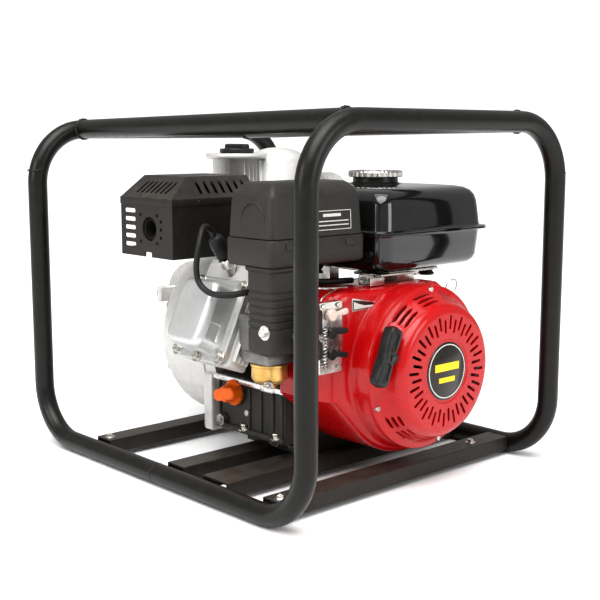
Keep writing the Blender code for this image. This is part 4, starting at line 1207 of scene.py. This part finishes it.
@dataclass
class AirCleaner:
    """Air cleaner case, lift-off cover, filter element and the duct down to the carburettor."""

    x: tuple[float, float] = (80.0, 162.0)
    y: tuple[float, float] = (-167.0, -21.0)
    z: tuple[float, float] = (268.0, 361.0)
    seam: float = 299.0

    def build(self, frame: dict) -> None:
        """Make every piece of the air cleaner."""
        mid = Matrix.Translation((sum(self.x) / 2, sum(self.y) / 2, 0))
        half_x, half_y = (self.x[1] - self.x[0]) / 2, (self.y[1] - self.y[0]) / 2

        def outline(inset: float) -> list[tuple]:
            """Outline of the cleaner for an inset."""
            return rounded_rectangle(half_x - inset, half_y - inset, max(3.0, 9 - inset * 0.3), 6)

        low, seam, top = self.z[0], self.seam, self.z[1]
        case = Shape().stack(outline, [(3.5, low), (1.4, low + 1.2), (0.2, low + 3.2),
                                       (0.0, seam - 2), (0.8, seam - 0.4)], mid)
        made = case.to_object("air_cleaner_base")
        well = Shape().block((self.x[0] + 4, self.x[1] - 4), (self.y[0] + 4, self.y[1] - 4),
                             (low + 4, seam + 5), 3)
        carve(made, well)
        wear(made, BLACK_PLASTIC, FRAME_BODY, ["air_cleaner_case"], crease=34)
        cover = Shape().stack(outline, [(2.4, seam + 0.3), (2.0, seam + 1.0), (2.4, seam + 8),
                                        (4.4, top - 18), (5.4, top - 14.5), (8.5, top - 9),
                                        (14.5, top - 2.6), (18.5, top - 0.6), (25, top)], mid)
        lid = cover.to_object("air_cleaner_lid")
        inside = Shape().stack(outline, [(6, seam - 6), (7.5, top - 20), (18, top - 5),
                                         (26, top - 4)], mid)
        carve(lid, inside)
        wear(lid, BLACK_PLASTIC, "cleaner_lid", ["air_cleaner_cover"], crease=26)
        self._relief()
        refine(frame, "filter_element", FOAM, edge=3.0)
        self._duct()

    def _relief(self) -> None:
        """Add the arch on the left face, the label on the starter face, and two clips."""
        y = self.y[0] + 3.1
        arch = Shape()
        inner = 20.0
        path = [Vector((126 - inner, y, self.seam + 2))]
        path += [Vector((126 - inner * math.cos(t), y + 0.6, self.seam + 20 + inner * math.sin(t)))
                 for t in (math.pi * i / 20 for i in range(21))]
        path.append(Vector((126 + inner, y, self.seam + 2)))
        arch.tube(path, 1.2, 8)
        wear(arch.to_object("air_cleaner_arch"), BLACK_PLASTIC, "cleaner_lid", crease=60)
        rim, bars = Shape(), Shape()
        left, right, low, high = -99.0, -44.0, 306.0, 328.0
        for y0, y1, z0, z1 in ((left, right, high - 0.8, high), (left, right, low, low + 0.8),
                               (left, left + 0.8, low, high), (right - 0.8, right, low, high)):
            self._print(rim, y0, y1, z0, z1)
        for y0, y1, z0, z1 in ((-88, -60, 321.0, 324.4), (-96, -48, 315.4, 316.6),
                               (-96, -48, 310.8, 312.0)):
            self._print(bars, y0, y1, z0, z1)
        wear(rim.to_object("air_cleaner_label_rim"), BADGE_WHITE, "cleaner_lid")
        wear(bars.to_object("air_cleaner_label_bars"), BADGE_WHITE, "cleaner_lid")
        clips = Shape()
        for middle in (-140, -48):
            clips.block((self.x[1] - 1.5, self.x[1] + 1.6), (middle - 7, middle + 7),
                        (self.seam - 12, self.seam - 4), 1.2)
        wear(clips.to_object("air_cleaner_catches"), BLACK_PLASTIC, FRAME_BODY)

    def _print(self, shape: Shape, y0: float, y1: float, z0: float, z1: float) -> None:
        """Add a thin raised patch that lies on the sloping starter-side wall.

        Args:
            shape: Shape to add to.
            y0: Lowest Y.
            y1: Highest Y.
            z0: Lowest Z.
            z1: Highest Z.
        """
        def wall(z: float) -> float:
            """X of the wall at a height."""
            return self.x[1] - 2.4 - 2.0 * (z - self.seam - 8) / (self.z[1] - self.seam - 26)

        shape.loft([[(wall(z) + rise, y, z) for y, z in ((y0, z0), (y1, z0), (y1, z1), (y0, z1))]
                    for rise in (-0.6, 0.3)])

    def _duct(self) -> None:
        """Make the duct with its stepped ribs, its bolt and its sealing ring."""
        place = Matrix.Translation((134.5, -132.5, 0))

        def outline(inset: float) -> list[tuple]:
            """Outline of the duct for an inset."""
            return rounded_rectangle(22.5 - inset, 29.5 - inset, max(2.0, 6 - inset * 0.3), 6)

        levels = [(4.0, 170), (1.2, 171.5), (0.0, 175)]
        for i in range(6):
            step = 198 + i * 8
            levels += [(0.0, step), (1.0, step + 1), (1.0, step + 2.4), (0.0, step + 3.4)]
        levels += [(0.0, 262), (-2.5, 264.5), (-2.5, 267.6)]
        wear(Shape().stack(outline, levels, place).to_object("air_duct_moulding"), BLACK_PLASTIC,
             FRAME_BODY, ["air_cleaner_duct"], crease=30)
        bolts = Shape()
        bolts.bolt((144, -162, 196), (0, -1, 0), 9)
        bolts.bolt((157, -124, 190), (1, 0, 0), 9)
        wear(bolts.to_object("air_duct_bolts"), ZINC, FRAME_BODY, crease=30)


@dataclass
class Controls:
    """Carburettor, float bowl, control plate, levers, rods, springs and the stop switch."""

    plate_x: float = 190.0

    def build(self, frame: dict) -> None:
        """Make every control."""
        refine(frame, "carburettor", CARB_METAL, edge=1.2)
        refine(frame, "control_bracket", ZINC, edge=0.5)
        self._bowl()
        self._levers()
        self._linkage()
        knob = Shape().lathe([(11.5, 0), (11.8, 1), (11.8, 6), (10.6, 8.5), (0, 9)],
                             (146, -100.3, 150), (0, -1, 0), 40,
                             wobble=lambda angle: 0.3 * math.cos(16 * angle))
        knob.block((142.6, 149.4), (-117, -107), (139.5, 160.5), 2.4)
        wear(knob.to_object("stop_switch_knob"), GRIP_PLASTIC, "switch", ["stop_switch"])

    def _bowl(self) -> None:
        """Make the brass float bowl with its seam, foot and drain screw."""
        bowl = Shape().lathe([(0, 30), (21.6, 29.8), (22.4, 29), (22.4, 26.6), (21.2, 25.8),
                              (21.2, 12.5), (19.5, 9), (15, 5.4), (12, 4.4), (8.5, 4.2), (8, 0.6),
                              (0, 0)], (108, -124, 122.7), (0, 0, 1), 64)
        wear(bowl.to_object("float_bowl_cup"), BRASS, FRAME_BODY, ["float_bowl"], crease=34)
        screw = Shape().bolt((108, -124, 124.5), (0, 0, -1), 7, washer=False)
        screw.bolt((122, -138, 130), (0.5, -0.5, -0.5), 6)
        wear(screw.to_object("float_bowl_screws"), ZINC, FRAME_BODY, crease=30)

    def _levers(self) -> None:
        """Make the three levers, each riding on its own body."""
        rows = (("choke_lever", "choke", -108, 216, 6, CREAM),
                ("throttle_lever", "throttle", -108, 196, 2, GRIP_PLASTIC),
                ("fuel_valve_lever", "fuel_valve", -108, 172, -8, GRIP_PLASTIC))
        for node, body, y, z, angle, finish in rows:
            front = self.plate_x + 0.4
            lever = Shape().lathe([(6.4, 0), (6.6, 0.6), (6.6, 5.4), (5.4, 6.9), (0, 7)],
                                  (front, y, z), (1, 0, 0), 32)
            turn = Matrix.Rotation(math.radians(angle), 3, "X")
            pivot = Vector((front, y, z))
            loops = []
            for reach, half, thick in ((2, 3.4, 1.6), (6, 3.0, 1.6), (13, 2.6, 1.8), (17, 3.4, 2.2),
                                       (23, 3.4, 2.2), (24.4, 2.4, 1.6)):
                loops.append([pivot + turn @ Vector((3.6 + t, reach, h))
                              for t, h in rounded_rectangle(thick, half, 1.4, 3)])
            lever.loft(loops)
            wear(lever.to_object(node + "_moulding"), finish, body, [node], crease=35)

    def _linkage(self) -> None:
        """Make the governor rods, a return spring, and the screws of the control plate."""
        wires = Shape()
        wires.tube(smooth_path([(112, -118, 214), (130, -112, 226), (158, -104, 240),
                                (168, -84, 241), (170, -60, 240)]), 1.2, 8)
        wires.tube(smooth_path([(116, -108, 205), (150, -113, 208), (176, -116, 206),
                                (188, -112, 200)]), 1.0, 8)
        wires.tube(smooth_path([(186, -118, 231), (184, -110, 236), (176, -90, 239),
                                (160, -60, 239)]), 1.0, 8)
        coil = [Vector((194, -119, 158 + i * 0.42)) + Vector((
            3.2 * math.cos(i * 0.7), 3.2 * math.sin(i * 0.7), 0)) for i in range(110)]
        wires.tube(coil, 0.6, 6)
        wear(wires.to_object("governor_rods_and_spring"), ZINC, FRAME_BODY)
        screws = Shape()
        for y, z in ((-95, 226), (-117, 226), (-95, 156)):
            screws.bolt((self.plate_x, y, z), (1, 0, 0), 5, washer=False)
        wear(screws.to_object("control_plate_screws"), ZINC, FRAME_BODY, crease=30)
        dark = Shape()
        dark.block((173, 186.5), (-119, -92), (205, 226), 2)
        dark.block((173, 186.5), (-119, -92), (176, 192), 2)
        dark.block((173, 197), (-136, -123), (196, 224), 3)
        dark.block((173, 197), (-134, -123), (168, 188), 3)
        wear(dark.to_object("control_plate_blocks"), GRIP_PLASTIC, FRAME_BODY)


@dataclass
class Muffler:
    """Muffler box, and the folded guard with its slots and holes."""

    x: tuple[float, float] = (-138.0, -28.0)
    y: tuple[float, float] = (-160.0, -25.0)
    z: tuple[float, float] = (262.0, 361.0)
    shoulder: float = 335.0
    exhaust: tuple[float, float] = (-76.0, 297.0)

    def _hipped(self, inset: float, low: float, high: float) -> Shape:
        """Return the guard's outer form drawn in by an inset.

        Args:
            inset: How far every wall draws in.
            low: Height of the open bottom.
            high: Height of the top.

        Returns:
            The form.
        """
        x0, x1 = self.x[0] + inset, self.x[1] - inset
        y0, y1 = self.y[0] + inset, self.y[1] - inset
        rows = ((low, 0, 0), (self.shoulder - inset * 0.4, 0, 0), (high, 22, 37))
        return Shape().loft([[(x0, y0 + dy, z), (x1 - dx, y0 + dy, z), (x1 - dx, y1, z), (x0, y1, z)]
                             for z, dx, dy in rows])

    def build(self, frame: dict) -> None:
        """Make the muffler and its guard."""
        refine(frame, "muffler", SOOT, edge=1.0)
        guard = self._hipped(0, self.z[0], self.z[1]).to_object("muffler_guard_sheet")
        carve(guard, self._hipped(1.6, self.z[0] - 8, self.z[1] - 1.6))
        hx, hz = self.exhaust
        holes = Shape().lathe([(15, -5), (15, 8)], (hx, self.y[0], hz), (0, 1, 0), 40)
        for dx, dz in ((-19, 17), (16, 17), (24, 10), (24, 0), (24, -10), (16, -17), (-19, -16)):
            holes.lathe([(2.3, -5), (2.3, 8)], (hx + dx, self.y[0], hz + dz), (0, 1, 0), 16)
        for i in range(5):
            self._obround(holes, (self.x[0] + 20, self.y[0], hz - 21 + i * 10.6), 12, 2.7)
        holes.block((-86, -72), (self.y[0] - 4, self.y[0] + 6), (self.z[0] - 6, self.z[0] + 6), 2)
        for i in range(7):
            left = self.x[0] + 22 + i * 10
            holes.block((left, left + 4.2), (self.y[0] + 8, self.y[0] + 28),
                        (self.z[1] - 24, self.z[1] + 6), 1.6)
        for i in range(7):
            near = self.y[0] + 46 + i * 12
            holes.block((self.x[1] - 17, self.x[1] - 4.5), (near, near + 4.6),
                        (self.z[1] - 24, self.z[1] + 6), 1.6)
        holes.block((self.x[0] - 6, self.x[0] + 5), (self.y[0] + 2.5, self.y[1] - 22),
                    (self.z[0] + 9, self.shoulder - 13), 4)
        carve(guard, holes)
        wear(guard, HEAT_PAINT, FRAME_BODY, ["muffler_guard"], 0.7, 24)
        self._trim()

    @staticmethod
    def _obround(shape: Shape, spot: Point, half: float, radius: float) -> None:
        """Add the cutter of a level slot with round ends.

        Args:
            shape: Shape to add to.
            spot: Middle of the slot.
            half: Half its length.
            radius: Half its height.
        """
        rim = rounded_rectangle(half, radius, radius - 0.05, 6)
        shape.loft([[Vector(spot) + Vector((x, depth, z)) for x, z in rim] for depth in (-5, 6)])

    def _trim(self) -> None:
        """Add the folded seam round the guard, its screws and the tail pipe."""
        low = self.shoulder - 9
        seam = Shape()
        seam.block((self.x[0] - 0.7, self.x[1] + 0.7), (self.y[0] - 0.7, self.y[0] + 0.5),
                   (low, low + 9.4), 0.4)
        seam.block((self.x[1] - 0.5, self.x[1] + 0.7), (self.y[0], self.y[1]), (low, low + 9.4), 0.4)
        wear(seam.to_object("muffler_guard_seam"), HEAT_PAINT, FRAME_BODY)
        hx, hz = self.exhaust
        pipe = Shape().lathe([(12.6, 2), (12.6, 16), (11.2, 16), (11.2, 2)],
                             (hx, self.y[0], hz), (0, 1, 0), 40, ring=True)
        wear(pipe.to_object("tail_pipe"), SOOT, FRAME_BODY)
        screws = Shape()
        for y in (-120, -60):
            screws.bolt((self.x[1] + 0.4, y, low + 4.5), (1, 0, 0), 5, washer=False)
        wear(screws.to_object("muffler_screws"), HEAT_PAINT, FRAME_BODY, crease=30)


@dataclass
class Pump:
    """Pump casing, adapter, suction and delivery fittings, plugs, ribs and bolts."""

    crank_y: float = 27.0
    crank_z: float = 142.0
    face: float = -159.0
    back: float = -62.0
    radius: float = 116.0
    suction_z: float = 189.0
    chamber_x: float = -115.0
    outlet_z: float = 318.0

    def build(self, frame: dict) -> None:
        """Make every pump piece."""
        for node, finish, edge in (("pump_casing", SILVER_CASTING, 0.0),
                                   ("pump_adapter", SILVER_CASTING, 1.5),
                                   ("suction_port", SILVER_CASTING, 0.0),
                                   ("delivery_outlet", SILVER_CASTING, 0.0),
                                   ("mechanical_seal", RUBBER, 0.4)):
            refine(frame, node, finish, edge=edge)
        refine(frame, "check_valve_flap", RUBBER, "check_valve", 0.4)
        self._closures()
        self._bolts()
        self._ribs()
        self._plugs()

    def _bolts(self) -> None:
        """Make the bolts of the casing, the outlet and the suction flange."""
        bolts = Shape()
        for i in range(8):
            turn = math.radians(22.5 + 45 * i)
            bolts.bolt((self.face + 2.0, self.crank_y + 104 * math.cos(turn),
                        self.crank_z + 104 * math.sin(turn)), (-1, 0, 0), 10)
        for y in (-36, 90):
            bolts.bolt((-225, y, self.suction_z), (-1, 0, 0), 11)
        for i in range(4):
            turn = math.radians(45 + 90 * i)
            bolts.bolt((self.chamber_x + 43 * math.cos(turn), 139.5,
                        self.outlet_z + 43 * math.sin(turn)), (0, 1, 0), 7)
        wear(bolts.to_object("pump_bolts"), ZINC, FRAME_BODY, crease=30)

    def _closures(self) -> None:
        """Close the casing's face under the suction fitting, and the floor of the chamber."""
        pads = Shape().lathe([(0, -1.5), (39, -1.5), (39, 2.5), (36.5, 4.5), (0, 4.5)],
                             (self.face, self.crank_y, self.crank_z), (-1, 0, 0), 64)
        pads.lathe([(0, 0), (41, 0), (45.4, 3), (45.4, 8), (0, 8)],
                   (self.chamber_x, 85, 229.5), (0, 0, 1), 64)
        wear(pads.to_object("pump_closures"), SILVER_CASTING, FRAME_BODY)

    def _ribs(self) -> None:
        """Add the rim band, stiffening ribs and the threads of the outlet."""
        ribs = Shape()
        hub = (0, self.crank_y, self.crank_z)
        foot, crown = self.radius - 1, self.radius + 3
        ribs.lathe([(foot, self.back - 14), (crown, self.back - 13), (crown, self.back - 1),
                    (foot, self.back - 0.4)], hub, (1, 0, 0), 96, ring=True)
        for i in range(6):
            turn = math.radians(60 * i + 12)
            spoke = Vector((0, math.cos(turn), math.sin(turn)))
            middle = Vector(hub) + spoke * 68 + Vector((self.face - 1.5, 0, 0))
            ribs.block((middle.x - 2.5, middle.x + 3), (middle.y - 26, middle.y + 26),
                       (middle.z - 2.5, middle.z + 2.5), 1.4,
                       turn=Matrix.Rotation(turn, 3, "X"))
        suction_axis = (0, self.crank_y, self.suction_z)
        ribs.lathe([(52, self.face - 5), (54, self.face - 3), (56, self.face + 1),
                    (40, self.face + 1), (40, self.face - 5)], suction_axis, (1, 0, 0), 64,
                   ring=True)
        wear(ribs.to_object("pump_ribs"), SILVER_CASTING, FRAME_BODY)
        threads = Shape()
        for i in range(5):
            threads.lathe([(38.4, 0), (40.2, 1.2), (40.2, 1.8), (38.4, 3)],
                          (self.chamber_x, 166 + 5 * i, self.outlet_z), (0, 1, 0), 64, ring=True)
            threads.lathe([(37.4, 0), (39.6, 1.2), (39.6, 1.8), (37.4, 3)],
                          (-243.9 + 4.6 * i, self.crank_y, self.suction_z), (1, 0, 0), 64,
                          ring=True)
        wear(threads.to_object("port_threads"), SILVER_CASTING, FRAME_BODY, crease=50)

    def _plugs(self) -> None:
        """Make the priming plug with its bar and the drain plug."""
        plug = Shape().lathe([(16.8, -16), (17, -1), (22, 0.3), (23.6, 1.2), (23.6, 5.4),
                              (22.4, 6.6), (0, 7)], (-133, 27, 387), (0, 0, 1), 48,
                             wobble=lambda angle: 0.3 * math.cos(12 * angle))
        plug.block((-155, -111), (21.6, 32.4), (390, 400), 3)
        wear(plug.to_object("priming_plug_moulding"), GRIP_PLASTIC, "priming_plug",
             ["priming_plug"], crease=34)
        drain = Shape().lathe([(5.8, -11), (5.9, -0.2), (0, -0.2)], (self.face, 27, 45), (-1, 0, 0),
                              24)
        drain.bolt((self.face - 0.4, 27, 45), (-1, 0, 0), 16)
        wear(drain.to_object("pump_drain_plug_head"), ZINC, "drain_plug", ["pump_drain_plug"],
             crease=30)


@dataclass
class Studio:
    """Floor, light and camera."""

    camera_at: tuple[float, float, float] = (1049.44, -939.58, 412.38)
    heading: float = 137.483
    dip: float = 8.554
    lens: float = 65.97

    def build(self) -> None:
        """Make the floor, the lamps, the surrounding light and the camera."""
        self._floor()
        self._lamps()
        self._surroundings()
        self._camera()

    @staticmethod
    def _floor() -> None:
        """Make a wide pale floor."""
        floor = Shape().block((-40000, 40000), (-40000, 40000), (-12, -0.1), 0).to_object("floor")
        material = bpy.data.materials.new("pale_floor")
        material.use_nodes = True
        shader = material.node_tree.nodes["Principled BSDF"]
        shader.inputs["Base Color"].default_value = (0.95, 0.95, 0.95, 1.0)
        shader.inputs["Roughness"].default_value = 0.9
        floor.data.materials.append(material)

    @staticmethod
    def _lamp(name: str, at: Point, towards: Point, size: tuple[float, float], power: float) -> None:
        """Make one soft rectangular lamp.

        Args:
            name: Name of the lamp.
            at: Place of the lamp, in metres.
            towards: Point that it shines at, in metres.
            size: Width and height, in metres.
            power: Power in watts.
        """
        data = bpy.data.lights.new(name, "AREA")
        data.shape = "RECTANGLE"
        data.size, data.size_y = size
        data.energy = power
        lamp = bpy.data.objects.new(name, data)
        lamp.location = at
        aim = Vector(towards) - Vector(at)
        lamp.rotation_euler = aim.to_track_quat("-Z", "Y").to_euler()
        bpy.context.scene.collection.objects.link(lamp)

    def _lamps(self) -> None:
        """Make a broad overhead lamp and two side lamps."""
        middle = (0.0, 0.0, 0.2)
        self._lamp("overhead_lamp", (0.3, -0.4, 2.4), middle, (2.0, 2.0), 26.0)
        self._lamp("left_lamp", (-0.4, -2.4, 1.2), middle, (1.2, 1.0), 18.0)
        self._lamp("right_lamp", (2.5, 0.5, 1.1), middle, (1.0, 1.1), 16.0)
        data = bpy.data.lights.new("broad_sun", "SUN")
        data.energy, data.angle = 2.5, math.radians(50)
        sun = bpy.data.objects.new("broad_sun", data)
        sun.rotation_euler = Vector((-0.35, 0.42, -1.0)).to_track_quat("-Z", "Y").to_euler()
        bpy.context.scene.collection.objects.link(sun)

    @staticmethod
    def _surroundings() -> None:
        """Fill the room with even light: white behind the object, dimmer in reflections."""
        scene = bpy.context.scene
        world = bpy.data.worlds.new("studio")
        scene.world = world
        world.use_nodes = True
        tree = world.node_tree
        back = tree.nodes["Background"]
        back.inputs["Color"].default_value = (1.0, 1.0, 1.0, 1.0)
        back.inputs["Strength"].default_value = 0.46
        bright = tree.nodes.new("ShaderNodeBackground")
        bright.inputs["Color"].default_value = (1.0, 1.0, 1.0, 1.0)
        bright.inputs["Strength"].default_value = 1.0
        path = tree.nodes.new("ShaderNodeLightPath")
        mix = tree.nodes.new("ShaderNodeMixShader")
        tree.links.new(path.outputs["Is Camera Ray"], mix.inputs["Fac"])
        tree.links.new(back.outputs["Background"], mix.inputs[1])
        tree.links.new(bright.outputs["Background"], mix.inputs[2])
        tree.links.new(mix.outputs["Shader"], tree.nodes["World Output"].inputs["Surface"])
        scene.view_settings.view_transform = "Standard"
        scene.view_settings.look = "Medium High Contrast"

    def _camera(self) -> None:
        """Make the camera."""
        data = bpy.data.cameras.new("camera")
        data.lens = self.lens
        data.sensor_width = 36.0
        data.clip_start, data.clip_end = 0.05, 200.0
        camera = bpy.data.objects.new("camera", data)
        camera.location = Vector(self.camera_at) * MM
        heading, dip = math.radians(self.heading), math.radians(self.dip)
        look = Vector((math.cos(heading) * math.cos(dip), math.sin(heading) * math.cos(dip),
                       -math.sin(dip)))
        camera.rotation_euler = look.to_track_quat("-Z", "Y").to_euler()
        bpy.context.scene.collection.objects.link(camera)
        bpy.context.scene.camera = camera


def main() -> None:
    """Load the frame, build every sub-assembly round it, and set the studio."""
    logging.basicConfig(level=logging.INFO, format="%(name)s: %(message)s")
    for thing in list(bpy.data.objects):
        bpy.data.objects.remove(thing, do_unlink=True)
    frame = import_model()
    Studio().build()
    TubeFrame().build(frame)
    Engine().build(frame)
    FanAndStarter().build(frame)
    FuelTank().build(frame)
    AirCleaner().build(frame)
    Controls().build(frame)
    Muffler().build(frame)
    Pump().build(frame)


if __name__ == "__main__":
    main()
